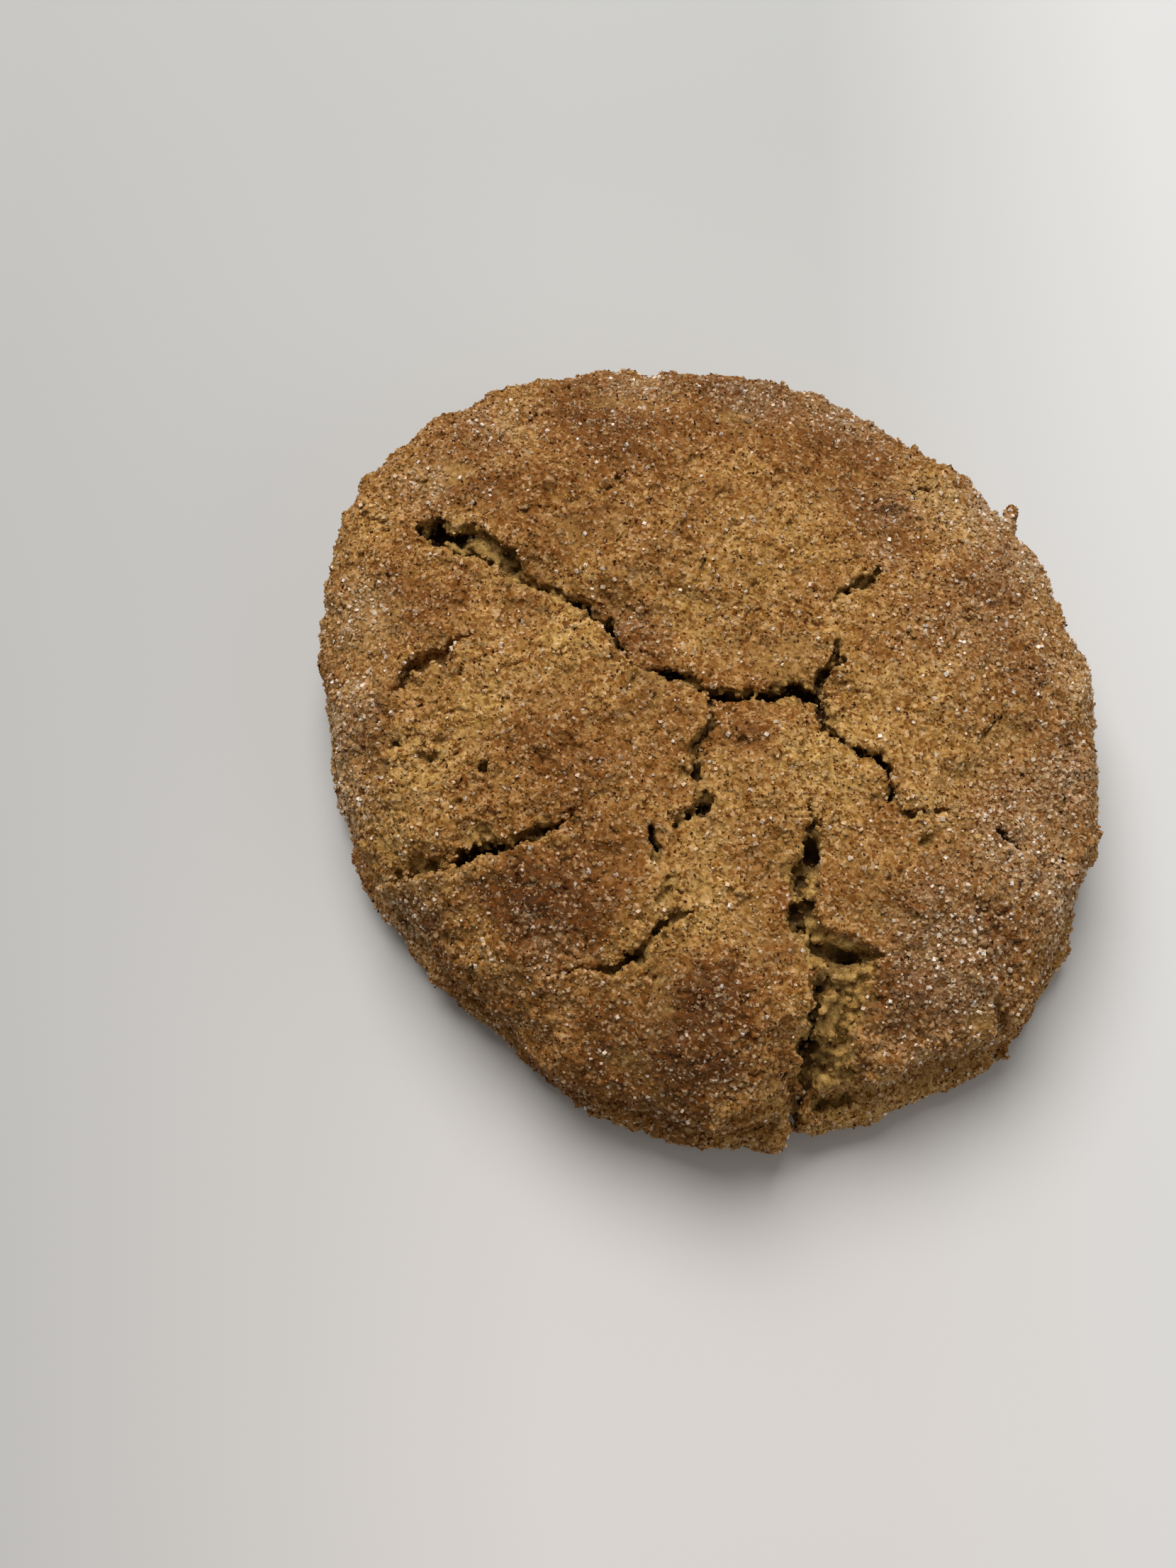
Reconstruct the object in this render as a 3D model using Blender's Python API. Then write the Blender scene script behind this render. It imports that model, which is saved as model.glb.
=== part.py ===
"""A large pumpkin spice cookie, lying flat with its cracked top up.

The body is one closed lump: a domed top in raised plates, a rolled rim, a side wall in two soft
layers with a crease between them, and a flat underside. Jagged wedges cut the splits in its top.
Sizes are in millimetres here and become metres when the meshes are made.
"""

import math
import random

import bpy
from mathutils import Vector, noise

MM = 0.001

# The cookie's outline seen from above: one radius for each 15 degrees, counter-clockwise from +X
OUTLINE_RADII = (
    50.3, 50.0, 50.2, 50.3, 51.0, 52.9, 53.8, 55.2, 56.6, 57.3, 56.0, 52.7,
    49.9, 48.2, 46.6, 45.6, 47.2, 49.7, 51.4, 51.8, 53.4, 55.2, 54.2, 52.0,
)
# Where the outline steps in beside the front gash: angle, then how far out and how far in it
# stands on each side and over how many degrees that fades
RIM_STEP = (-79.6, (0.9, 9.0), (1.9, 5.0))

CROWN_HEIGHT = 26.0  # top of the dome before its mounds
DOME_ROUNDNESS = 3.0  # a larger value keeps the top flat further out
DOME_DROP = 2.0  # how squarely the rim rolls over

# The side wall, from the table up: a rounded foot, a crease, then the lip of the upper layer
TABLE_ROUNDING = 4.6
TABLE_INSET = 3.2
CREASE_HEIGHT = 8.6
CREASE_WAVE = 2.2  # the crease rises and falls by this much on its way round
CREASE_REACH = 1.5  # up and down the wall
# How deep the crease is, one for each 30 degrees from +X, and how far the lip above it stands
# back, one for each 15 degrees
CREASE_DEPTHS = (0.9, 0.4, 1.2, 1.5, 0.8, 0.3, 1.3, 1.9, 1.1, 1.5, 2.8, 1.8)
LIP_SETBACKS = (
    0.5, 0.4, 0.3, 0.5, 0.7, 0.8, 0.9, 0.6, 0.4, 0.3, 0.3, 0.5,
    0.8, 1.1, 1.4, 1.3, 1.3, 1.0, 1.0, 4.4, 4.2, 1.6, 2.4, 1.2,
)
LIP_HEIGHT = 3.4  # from the crease up to where the dome begins
# Shorter folds: middle angle, reach in degrees, height, climb from end to end, depth
SHORT_FOLDS = (
    (-150.0, 30.0, 12.6, 2.0, 0.9),
    (-98.0, 24.0, 11.6, -1.6, 0.9),
    (-30.0, 22.0, 4.4, 1.2, 0.8),
    (6.0, 26.0, 12.2, -1.5, 0.9),
    (48.0, 28.0, 6.0, 2.4, 1.1),
    (92.0, 24.0, 5.0, -1.2, 0.9),
    (128.0, 26.0, 11.0, 2.0, 1.1),
    (172.0, 24.0, 4.8, 1.4, 1.0),
)
FOLD_REACH = 1.2

# Mounds and dents of the top: centre x, y, spread and height
MOUNDS = (
    (-6.0, 26.0, 16.0, 1.6),
    (-25.0, 34.0, 11.0, 1.1),
    (2.0, 8.0, 8.0, -3.0),
    (-9.0, 14.0, 6.5, -1.6),
    (-16.0, 1.0, 10.0, 2.4),
    (-36.0, 4.0, 9.0, 1.4),
    (-24.0, -27.0, 8.5, 2.6),
    (-9.0, -25.0, 7.5, 1.4),
    (0.0, -38.0, 8.5, 1.8),
    (6.5, -8.0, 6.5, 2.2),
    (29.0, 5.0, 10.0, 2.4),
    (38.0, 17.0, 8.0, 1.2),
    (28.0, -23.0, 8.5, 2.2),
    (22.0, 26.0, 6.0, -2.3),
    (24.0, 17.0, 5.0, -1.5),
    (34.0, -11.0, 5.0, -1.2),
)

# Hand-rolled unevenness all over: size and height of the lumps
LUMPS = ((9.0, 0.6), (4.5, 0.3))

# The splits in the top: x, y, width and depth along each, with how far the bottom lies to the
# left (+) or right (-) of the middle, in half widths
SPLITS = {
    "upper_split": (0.0, (
        (-37.6, 25.0, 0.8, 1.5), (-35.6, 23.4, 2.4, 5.0), (-33.1, 22.1, 3.2, 5.5),
        (-30.3, 20.7, 3.8, 5.0), (-26.9, 18.8, 3.8, 4.5), (-24.5, 16.9, 2.8, 4.5),
        (-21.0, 16.1, 2.6, 4.5), (-17.5, 13.7, 2.3, 4.5), (-14.5, 11.3, 1.8, 3.5),
        (-12.2, 8.2, 1.5, 2.6), (-10.0, 5.1, 1.4, 2.6), (-6.0, 3.2, 1.4, 2.6),
        (-2.9, 2.1, 1.8, 3.5), (-0.6, 0.7, 1.9, 4.0), (2.4, 0.5, 2.1, 5.0),
        (5.7, 0.9, 2.5, 5.5), (8.6, 1.0, 2.7, 5.5), (11.1, 1.1, 3.3, 6.0),
        (13.5, 0.4, 1.6, 5.0),
    )),
    "fork_up": (0.0, (
        (12.5, -0.7, 1.4, 4.0), (13.3, 3.0, 0.9, 4.0), (14.9, 4.7, 1.4, 4.0),
        (15.8, 7.0, 0.4, 1.5),
    )),
    "fork_down": (0.0, (
        (12.3, 1.0, 1.4, 4.0), (13.7, -4.0, 1.3, 4.0), (16.1, -5.6, 0.8, 3.0),
        (18.5, -6.9, 0.9, 3.0), (20.1, -8.3, 2.2, 5.0), (20.4, -10.5, 1.6, 5.0),
        (21.5, -13.0, 0.8, 3.0), (23.6, -14.9, 0.4, 1.5),
    )),
    "middle_seam": (0.0, (
        (-0.6, 1.1, 1.2, 3.5), (-0.8, -2.9, 1.5, 3.0), (-2.0, -5.8, 1.1, 2.0),
        (-2.5, -9.2, 0.6, 1.4), (-1.2, -11.6, 1.5, 3.5), (-1.0, -13.2, 2.3, 4.5),
        (-2.5, -14.7, 1.3, 3.5), (-5.4, -16.0, 0.4, 1.5),
    )),
    "lower_left_split": (0.0, (
        (-41.7, -20.2, 0.6, 1.4), (-37.8, -20.2, 1.2, 2.5), (-34.2, -20.0, 1.9, 3.5),
        (-30.6, -19.4, 3.0, 5.0), (-27.1, -18.1, 2.6, 5.5), (-23.0, -17.5, 2.3, 5.5),
        (-19.5, -16.5, 1.9, 4.5), (-17.0, -15.5, 0.9, 3.0), (-15.0, -14.9, 0.4, 1.2),
    )),
    "lower_seam": (0.0, (
        (-4.0, -26.9, 0.4, 1.4), (-7.4, -29.4, 1.6, 3.0), (-9.6, -31.9, 2.0, 3.4),
        (-12.6, -33.1, 0.8, 2.0), (-17.0, -33.1, 1.2, 2.6), (-19.2, -33.6, 1.1, 2.5),
        (-21.1, -34.4, 0.4, 1.4),
    )),
    "front_gash": (-0.6, (
        (12.5, -13.2, 0.6, 1.5), (11.1, -16.3, 1.4, 4.0), (11.4, -19.5, 1.8, 5.0),
        (11.0, -22.1, 2.7, 5.5), (11.2, -24.7, 3.6, 5.5), (11.1, -26.9, 4.5, 5.5),
        (12.2, -29.3, 4.6, 6.0), (13.4, -31.9, 5.6, 6.5), (14.1, -35.0, 8.4, 7.0),
        (14.3, -38.4, 10.4, 7.0), (14.0, -41.8, 10.8, 7.0), (13.0, -45.2, 9.6, 7.0),
        (11.0, -48.1, 6.6, 7.0), (9.3, -50.9, 4.0, 8.0), (8.5, -54.4, 3.2, 9.0),
    )),
    "rim_notch": (0.0, (
        (10.6, -46.8, 1.2, 9.0), (9.9, -48.6, 1.4, 12.0), (9.4, -50.5, 1.6, 14.0),
        (8.9, -55.0, 2.4, 15.0),
    )),
    "gash_pocket": (0.0, (
        (12.8, -30.9, 4.0, 5.0), (16.7, -30.7, 3.8, 4.5), (19.2, -30.7, 2.2, 3.0),
        (20.8, -30.6, 0.8, 1.5),
    )),
}

SEGMENTS = 110  # round the cookie
TOP_RINGS = 20
WALL_RINGS = 14

CUT_SPACING = 1.5  # between the sections of a wedge
CUT_ABOVE = 4.0  # a wedge reaches this far above the top
CUT_TOE = 0.16  # width at a split's bottom, as a share of its width at the top
JAG = 0.3  # how far a broken edge strays, as a share of the split's width
JAG_SEED = 7

CRUST_COLOUR = (0.36, 0.175, 0.055, 1.0)
CRUST_ROUGHNESS = 0.85


def clear_scene():
    for obj in list(bpy.data.objects):
        bpy.data.objects.remove(obj, do_unlink=True)


def crust_material():
    material = bpy.data.materials.new("cookie_crust")
    material.use_nodes = True
    shader = material.node_tree.nodes["Principled BSDF"]
    shader.inputs["Base Color"].default_value = CRUST_COLOUR
    shader.inputs["Roughness"].default_value = CRUST_ROUGHNESS
    shader.inputs["Metallic"].default_value = 0.0
    return material


def smooth_between(before, start, end, after, share):
    """A Catmull-Rom value between start and end."""
    rise = (end - before) / 2
    fall = (after - start) / 2
    squared = share * share
    cubed = squared * share
    return (
        (2 * cubed - 3 * squared + 1) * start
        + (cubed - 2 * squared + share) * rise
        + (3 * squared - 2 * cubed) * end
        + (cubed - squared) * fall
    )


def rim_step(angle):
    """How far the outline stands out before the step at the gash, or in after it."""
    edge, (out, out_reach), (inward, in_reach) = RIM_STEP
    away = (math.degrees(angle) - edge + 180.0) % 360.0 - 180.0
    if away < 0.0:
        return out * max(1.0 + away / out_reach, 0.0)
    return -inward * max(1.0 - away / in_reach, 0.0)


def outline_radius(angle):
    """The outline's radius at an angle in radians."""
    count = len(OUTLINE_RADII)
    place = (angle / math.tau % 1.0) * count
    first = int(place) % count
    around = [OUTLINE_RADII[(first + step) % count] for step in (-1, 0, 1, 2)]
    return smooth_between(*around, place - int(place)) + rim_step(angle)


def value_round(values, angle):
    """A value at an angle, eased between values that are spaced evenly round the cookie."""
    place = (angle / math.tau % 1.0) * len(values)
    first = int(place) % len(values)
    share = place - int(place)
    eased = share * share * (3.0 - 2.0 * share)
    return values[first] + (values[(first + 1) % len(values)] - values[first]) * eased


def crease_height(angle):
    wave = 0.6 * math.sin(3 * angle + 0.8) + 0.4 * math.sin(5 * angle + 2.1)
    return CREASE_HEIGHT + CREASE_WAVE * wave


def edge_height(angle):
    """Where the wall ends and the dome begins."""
    return crease_height(angle) + LIP_HEIGHT


def bell(away):
    return math.exp(-away * away)


def short_fold_depth(angle, height):
    total = 0.0
    for middle, reach, level, climb, depth in SHORT_FOLDS:
        away = ((math.degrees(angle) - middle + 180.0) % 360.0 - 180.0) / reach
        if abs(away) < 1.0:
            fade = (1.0 - away * away) ** 2
            total += depth * fade * bell((height - level - climb * away / 2) / FOLD_REACH)
    return total


def wall_radius(angle, height):
    """How far out the side wall stands at an angle and a height."""
    crease = crease_height(angle)
    rounding = TABLE_INSET * max(1.0 - height / TABLE_ROUNDING, 0.0) ** 2.4
    groove = value_round(CREASE_DEPTHS, angle) * bell((height - crease) / CREASE_REACH)
    climb = min(max((height - crease + 0.8) / 2.2, 0.0), 1.0)
    setback = value_round(LIP_SETBACKS, angle) * climb * climb * (3.0 - 2.0 * climb)
    inset = rounding + groove + setback + short_fold_depth(angle, height)
    return outline_radius(angle) - inset


def dome_radius(angle):
    return outline_radius(angle) - value_round(LIP_SETBACKS, angle)


def mound_height(x, y):
    total = 0.0
    for mound_x, mound_y, spread, height in MOUNDS:
        total += height * bell(math.hypot(x - mound_x, y - mound_y) / spread)
    return total


def top_height(x, y):
    """Height of the cookie's top over a point, or of the dome's edge outside it."""
    angle = math.atan2(y, x)
    share = min(math.hypot(x, y) / dome_radius(angle), 1.0)
    dome = (1.0 - share**DOME_ROUNDNESS) ** (1.0 / DOME_DROP)
    edge = edge_height(angle)
    return edge + (CROWN_HEIGHT + mound_height(x, y) - edge) * dome


def lump_height(x, y, z):
    total = 0.0
    for size, height in LUMPS:
        total += height * noise.noise(Vector((x, y, z)) / size)
    return total


def top_point(angle, share):
    radius = share * dome_radius(angle)
    x = radius * math.cos(angle)
    y = radius * math.sin(angle)
    z = top_height(x, y)
    outward = share**4
    lump = lump_height(x, y, z)
    swell = 1.0 + lump * outward / max(radius, 1.0)
    return (x * swell, y * swell, z + lump * math.sqrt(1.0 - outward * outward))


def wall_point(angle, height):
    radius = wall_radius(angle, height)
    lump = lump_height(radius * math.cos(angle), radius * math.sin(angle), height)
    return ((radius + lump) * math.cos(angle), (radius + lump) * math.sin(angle), height)


def column(angle):
    """The body's points under one angle, from near the crown down to the table."""
    points = []
    for ring in range(1, TOP_RINGS + 1):
        share = math.sin(math.pi / 2 * ring / (TOP_RINGS + 1))
        points.append(top_point(angle, share))
    edge = edge_height(angle)
    for ring in range(WALL_RINGS + 1):
        points.append(wall_point(angle, edge * (1.0 - ring / WALL_RINGS)))
    return points


def mesh_object(name, points, faces, collection):
    mesh = bpy.data.meshes.new(name)
    mesh.from_pydata([Vector(point) * MM for point in points], [], faces)
    mesh.validate()
    mesh.update()
    made = bpy.data.objects.new(name, mesh)
    collection.objects.link(made)
    return made


def make_body(collection):
    """The uncut lump: rings of points from the crown down to the flat underside."""
    columns = [column(math.tau * step / SEGMENTS) for step in range(SEGMENTS)]
    rings = len(columns[0])
    points = [(0.0, 0.0, top_height(0.0, 0.0) + lump_height(0.0, 0.0, CROWN_HEIGHT))]
    for ring in range(rings):
        points += [each[ring] for each in columns]
    faces = []
    for step in range(SEGMENTS):
        beside = (step + 1) % SEGMENTS
        faces.append((0, 1 + step, 1 + beside))
        for ring in range(rings - 1):
            above = 1 + ring * SEGMENTS
            below = above + SEGMENTS
            faces.append((above + step, below + step, below + beside, above + beside))
    last = 1 + (rings - 1) * SEGMENTS
    faces.append([last + SEGMENTS - 1 - step for step in range(SEGMENTS)])
    return mesh_object("cookie", points, faces, collection)


def route_sections(route):
    """Sections along a split at even spacing: x, y, width and depth."""
    sections = []
    for index in range(len(route) - 1):
        before = route[max(index - 1, 0)]
        start = route[index]
        end = route[index + 1]
        after = route[min(index + 2, len(route) - 1)]
        length = math.dist(start[:2], end[:2])
        steps = max(round(length / CUT_SPACING), 1)
        for step in range(steps):
            share = step / steps
            sections.append([smooth_between(*values, share) for values in zip(before, start, end, after)])
    sections.append(list(route[-1]))
    return sections


def make_wedge(name, lean, route, collection, draw):
    """A wedge that cuts one split: wide above the top, narrow at the split's bottom."""
    sections = route_sections(route)
    points = []
    for index, (x, y, width, depth) in enumerate(sections):
        behind = Vector(sections[max(index - 2, 0)][:2])
        ahead = Vector(sections[min(index + 2, len(sections) - 1)][:2])
        along = (ahead - behind).normalized()
        left = Vector((-along.y, along.x))
        surface = top_height(x, y)
        spread = 1.0 + (1.0 - CUT_TOE) * CUT_ABOVE / depth
        corners = ((spread, CUT_ABOVE), (-spread, CUT_ABOVE), (-CUT_TOE, -depth), (CUT_TOE, -depth))
        for share, height in corners:
            jag = JAG * draw.uniform(-1.0, 1.0)
            toe = lean * (1.0 - CUT_TOE) if height < 0.0 else -lean * (spread - 1.0)
            reach = (share + toe + jag) * width / 2
            points.append((x + left.x * reach, y + left.y * reach, surface + height))
    faces = [(0, 3, 2, 1)]
    for index in range(len(sections) - 1):
        for corner in range(4):
            here = 4 * index + corner
            beside = 4 * index + (corner + 1) % 4
            faces.append((here, beside, beside + 4, here + 4))
    end = 4 * (len(sections) - 1)
    faces.append((end, end + 1, end + 2, end + 3))
    wedge = mesh_object(name, points, faces, collection)
    wedge.hide_render = True
    wedge.display_type = "WIRE"
    return wedge


def cut_splits(body, cutters):
    boolean = body.modifiers.new("splits", "BOOLEAN")
    boolean.operation = "DIFFERENCE"
    boolean.operand_type = "COLLECTION"
    boolean.collection = cutters


def centre_on_origin(objects):
    """Moves the meshes so that the outline's box is centred over the origin."""
    body = objects[0]
    for axis in (0, 1):
        places = [vertex.co[axis] for vertex in body.data.vertices]
        middle = (min(places) + max(places)) / 2
        for obj in objects:
            for vertex in obj.data.vertices:
                vertex.co[axis] -= middle


def main():
    clear_scene()
    cookie_parts = bpy.data.collections.new("pumpkin_spice_cookie")
    cutters = bpy.data.collections.new("cutters")
    bpy.context.scene.collection.children.link(cookie_parts)
    bpy.context.scene.collection.children.link(cutters)

    body = make_body(cookie_parts)
    body.data.materials.append(crust_material())
    body.data.shade_smooth()

    draw = random.Random(JAG_SEED)
    wedges = [
        make_wedge(name, lean, route, cutters, draw)
        for name, (lean, route) in SPLITS.items()
    ]
    cut_splits(body, cutters)
    centre_on_origin([body, *wedges])


main()
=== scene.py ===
import math

import bmesh
import bpy
import numpy as np
import openvdb
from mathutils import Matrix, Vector, noise


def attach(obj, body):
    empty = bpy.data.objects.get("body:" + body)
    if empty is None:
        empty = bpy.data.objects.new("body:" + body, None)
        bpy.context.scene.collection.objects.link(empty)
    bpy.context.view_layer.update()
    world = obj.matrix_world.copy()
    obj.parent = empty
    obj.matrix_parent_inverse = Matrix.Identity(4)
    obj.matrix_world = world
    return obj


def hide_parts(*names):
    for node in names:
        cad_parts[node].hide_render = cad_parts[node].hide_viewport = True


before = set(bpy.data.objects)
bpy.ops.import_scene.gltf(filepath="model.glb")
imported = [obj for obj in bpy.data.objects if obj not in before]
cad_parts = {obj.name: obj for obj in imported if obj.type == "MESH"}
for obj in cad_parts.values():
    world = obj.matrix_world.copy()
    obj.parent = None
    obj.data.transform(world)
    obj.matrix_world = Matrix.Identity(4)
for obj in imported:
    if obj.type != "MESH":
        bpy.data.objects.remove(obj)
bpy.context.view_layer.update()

# Pumpkin spice cookie: a soft sugar cookie rolled in cinnamon sugar and baked until its top split.
# Shapes are worked out in millimetres, about the middle of the underside.
mm = 0.001


def toLinear(hexColour, alpha=1.0):
    channels = [int(hexColour[place:place + 2], 16) / 255 for place in (1, 3, 5)]
    return [c / 12.92 if c <= 0.04045 else ((c + 0.055) / 1.055) ** 2.4 for c in channels] + [alpha]


def addNode(tree, kind, settings):
    # settings go to the node where it has one by that name, or else to a socket by name or number,
    # which another node's socket can feed; a hex colour is turned linear, and stops are a ramp's
    # places and colours
    node = tree.nodes.new(kind)
    for name, value in settings.items():
        if name == "stops":
            while len(node.color_ramp.elements) < len(value):
                node.color_ramp.elements.new(0.5)
            for element, (position, colour) in zip(node.color_ramp.elements, value):
                element.position = position
                element.color = toLinear(colour) if isinstance(colour, str) else (colour,) * 3 + (1.0,)
        elif isinstance(value, bpy.types.NodeSocket):
            tree.links.new(value, node.inputs[name])
        elif isinstance(name, str) and hasattr(node, name):
            setattr(node, name, value)
        else:
            node.inputs[name].default_value = toLinear(value) if isinstance(value, str) else value
    return node


def readAttribute(tree, name):
    return addNode(tree, "ShaderNodeAttribute", {"attribute_name": name}).outputs["Fac"]


def mapRange(tree, value, start, end, low=0.0, high=1.0):
    return addNode(tree, "ShaderNodeMapRange", {
        "From Min": start, "From Max": end, "To Min": low, "To Max": high, "Value": value,
    }).outputs["Result"]


def mixTones(tree, share, first, second, blend="MIX"):
    return addNode(tree, "ShaderNodeMix", {
        "data_type": "RGBA", "blend_type": blend, 0: share, 6: first, 7: second,
    }).outputs[2]


def multiplyAdd(tree, value, factor, added, clamped=False):
    return addNode(tree, "ShaderNodeMath", {
        "operation": "MULTIPLY_ADD", "use_clamp": clamped, 0: value, 1: factor, 2: added,
    }).outputs[0]


def perMetre(size):
    # a texture's scale for a pattern of this many millimetres
    return 1.0 / (size * mm)


def mottle(tree, place, size, **settings):
    # uneven patches about this many millimetres across
    return addNode(tree, "ShaderNodeTexNoise", {"Scale": perMetre(size), "Vector": place, **settings})


form = {
    "centring": (-0.044, 1.011),  # the outline's middle, taken off so that it lies over the origin
    "outline": (
        50.3, 50.0, 50.2, 50.3, 51.0, 52.9, 53.8, 55.2, 56.6, 57.3, 56.0, 52.7,
        49.9, 48.2, 46.6, 45.6, 47.2, 49.7, 51.4, 51.8, 53.4, 55.2, 54.2, 52.0,
    ),  # radius each 15 degrees from +X
    "rimStep": (-79.6, (0.9, 9.0), (1.9, 5.0)),  # angle; out before it, in after it, and over how far
    "crown": 26.0,
    "domeRoundness": 3.0,
    "domeDrop": 2.0,
    "tableRounding": 4.6,
    "tableInset": 3.2,
    "creaseHeight": 8.6,
    "creaseWave": 2.2,
    "creaseReach": 1.5,
    "creaseDepths": (0.9, 0.4, 1.2, 1.5, 0.8, 0.3, 1.3, 1.9, 1.1, 1.5, 2.8, 1.8),
    "lipSetbacks": (
        0.5, 0.4, 0.3, 0.5, 0.7, 0.8, 0.9, 0.6, 0.4, 0.3, 0.3, 0.5,
        0.8, 1.1, 1.4, 1.3, 1.3, 1.0, 1.0, 4.4, 4.2, 1.6, 2.4, 1.2,
    ),
    "lipHeight": 3.4,
    # middle angle, reach in degrees, height, climb from end to end, depth
    "shortFolds": (
        (-150, 30, 12.6, 2.0, 0.9), (-98, 24, 11.6, -1.6, 0.9), (-30, 22, 4.4, 1.2, 0.8),
        (6, 26, 12.2, -1.5, 0.9), (48, 28, 6.0, 2.4, 1.1), (92, 24, 5.0, -1.2, 0.9),
        (128, 26, 11.0, 2.0, 1.1), (172, 24, 4.8, 1.4, 1.0),
    ),
    "foldReach": 1.2,
    # x, y, spread, height
    "mounds": (
        (-6, 26, 16, 1.6), (-25, 34, 11, 1.1), (2, 8, 8, -3.0), (-9, 14, 6.5, -1.6),
        (-16, 1, 10, 2.4), (-36, 4, 9, 1.4), (-24, -27, 8.5, 2.6), (-9, -25, 7.5, 1.4),
        (0, -38, 8.5, 1.8), (6.5, -8, 6.5, 2.2), (29, 5, 10, 2.4), (38, 17, 8, 1.2),
        (28, -23, 8.5, 2.2), (22, 26, 6, -2.3), (24, 17, 5, -1.5), (34, -11, 5, -1.2),
    ),
    "lumps": ((9.0, 0.6), (4.5, 0.3)),
    "columns": 480,
    "topRings": 120,
    "wallRings": 60,
}


def outlineRadius(angle):
    radii = np.array(form["outline"])
    place = (angle / math.tau % 1.0) * len(radii)
    first = np.floor(place).astype(int)
    before, start, end, after = (radii[(first + step) % len(radii)] for step in (-1, 0, 1, 2))
    t = place - first
    rise, fall = (end - before) / 2, (after - start) / 2
    edge, (out, outReach), (inward, inReach) = form["rimStep"]
    away = (np.degrees(angle) - edge + 180.0) % 360.0 - 180.0
    outward = out * np.clip(1.0 + away / outReach, 0.0, 1.0)
    step = np.where(away < 0.0, outward, -inward * np.clip(1.0 - away / inReach, 0.0, 1.0))
    return step + (
        (2 * t**3 - 3 * t**2 + 1) * start + (t**3 - 2 * t**2 + t) * rise
        + (3 * t**2 - 2 * t**3) * end + (t**3 - t**2) * fall
    )


def ease(share):
    share = np.clip(share, 0.0, 1.0)
    return share * share * (3.0 - 2.0 * share)


def roundAbout(values, angle):
    values = np.array(values)
    place = (angle / math.tau % 1.0) * len(values)
    first = np.floor(place).astype(int) % len(values)
    step = values[(first + 1) % len(values)] - values[first]
    return values[first] + step * ease(place - np.floor(place))


def bell(away):
    return np.exp(-away * away)


def creaseHeight(angle):
    wave = 0.6 * np.sin(3 * angle + 0.8) + 0.4 * np.sin(5 * angle + 2.1)
    return form["creaseHeight"] + form["creaseWave"] * wave


def edgeHeight(angle):
    return creaseHeight(angle) + form["lipHeight"]


def wallRadius(angle, height):
    crease = creaseHeight(angle)
    inset = form["tableInset"] * np.clip(1.0 - height / form["tableRounding"], 0.0, 1.0) ** 2.4
    inset = inset + roundAbout(form["creaseDepths"], angle) * bell((height - crease) / form["creaseReach"])
    inset = inset + roundAbout(form["lipSetbacks"], angle) * ease((height - crease + 0.8) / 2.2)
    for middle, reach, level, climb, depth in form["shortFolds"]:
        away = ((np.degrees(angle) - middle + 180.0) % 360.0 - 180.0) / reach
        fade = np.clip(1.0 - away * away, 0.0, 1.0) ** 2
        inset = inset + depth * fade * bell((height - level - climb * away / 2) / form["foldReach"])
    return outlineRadius(angle) - inset


def domeRadius(angle):
    return outlineRadius(angle) - roundAbout(form["lipSetbacks"], angle)


def topHeight(x, y):
    angle = np.arctan2(y, x)
    share = np.minimum(np.hypot(x, y) / domeRadius(angle), 1.0)
    dome = (1.0 - share ** form["domeRoundness"]) ** (1.0 / form["domeDrop"])
    mound = sum(high * bell(np.hypot(x - mx, y - my) / spread) for mx, my, spread, high in form["mounds"])
    edge = edgeHeight(angle)
    return edge + (form["crown"] + mound - edge) * dome


def lumpHeight(x, y, z):
    # the same noise as the solid's, so that the lumps lie where the solid has them
    places = np.stack(np.broadcast_arrays(x, y, z), axis=-1).reshape(-1, 3)
    total = np.zeros(len(places))
    for size, high in form["lumps"]:
        total += [high * noise.noise(Vector(place) / size) for place in places]
    return total.reshape(np.shape(z))


def makeForm():
    # rings of points from the crown down to the table, before any split
    angles = np.linspace(0.0, math.tau, form["columns"], endpoint=False)[None, :]
    share = np.sin(math.pi / 2 * np.arange(1, form["topRings"] + 1) / (form["topRings"] + 1))[:, None]
    radius = share * domeRadius(angles)
    x, y = radius * np.cos(angles), radius * np.sin(angles)
    z = topHeight(x, y)
    lump = lumpHeight(x, y, z)
    swell = 1.0 + lump * share**4 / np.maximum(radius, 1.0)
    top = np.stack([x * swell, y * swell, z + lump * np.sqrt(1.0 - share**8)], axis=-1)
    height = edgeHeight(angles) * (1.0 - np.arange(form["wallRings"] + 1) / form["wallRings"])[:, None]
    radius = wallRadius(angles, height)
    radius = radius + lumpHeight(radius * np.cos(angles), radius * np.sin(angles), height)
    wall = np.stack([radius * np.cos(angles), radius * np.sin(angles), height], axis=-1)
    rings = np.concatenate([top, wall])
    count, columns = rings.shape[:2]
    crown = [[0.0, 0.0, float(topHeight(np.array(0.0), np.array(0.0)))]]
    points = np.concatenate([rings.reshape(-1, 3), crown, [[0.0, 0.0, 0.0]]])
    points[:, :2] -= form["centring"]
    here = np.arange(columns)
    beside = (here + 1) % columns
    rows = np.arange(count - 1)[:, None] * columns
    quads = np.stack([rows + here, rows + columns + here, rows + columns + beside, rows + beside], axis=-1)
    last = (count - 1) * columns
    middle = count * columns
    caps = [np.stack([np.full(columns, middle), here, beside], axis=-1)]
    caps.append(np.stack([np.full(columns, middle + 1), last + beside, last + here], axis=-1))
    return points, np.concatenate(caps), quads.reshape(-1, 4)


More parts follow.
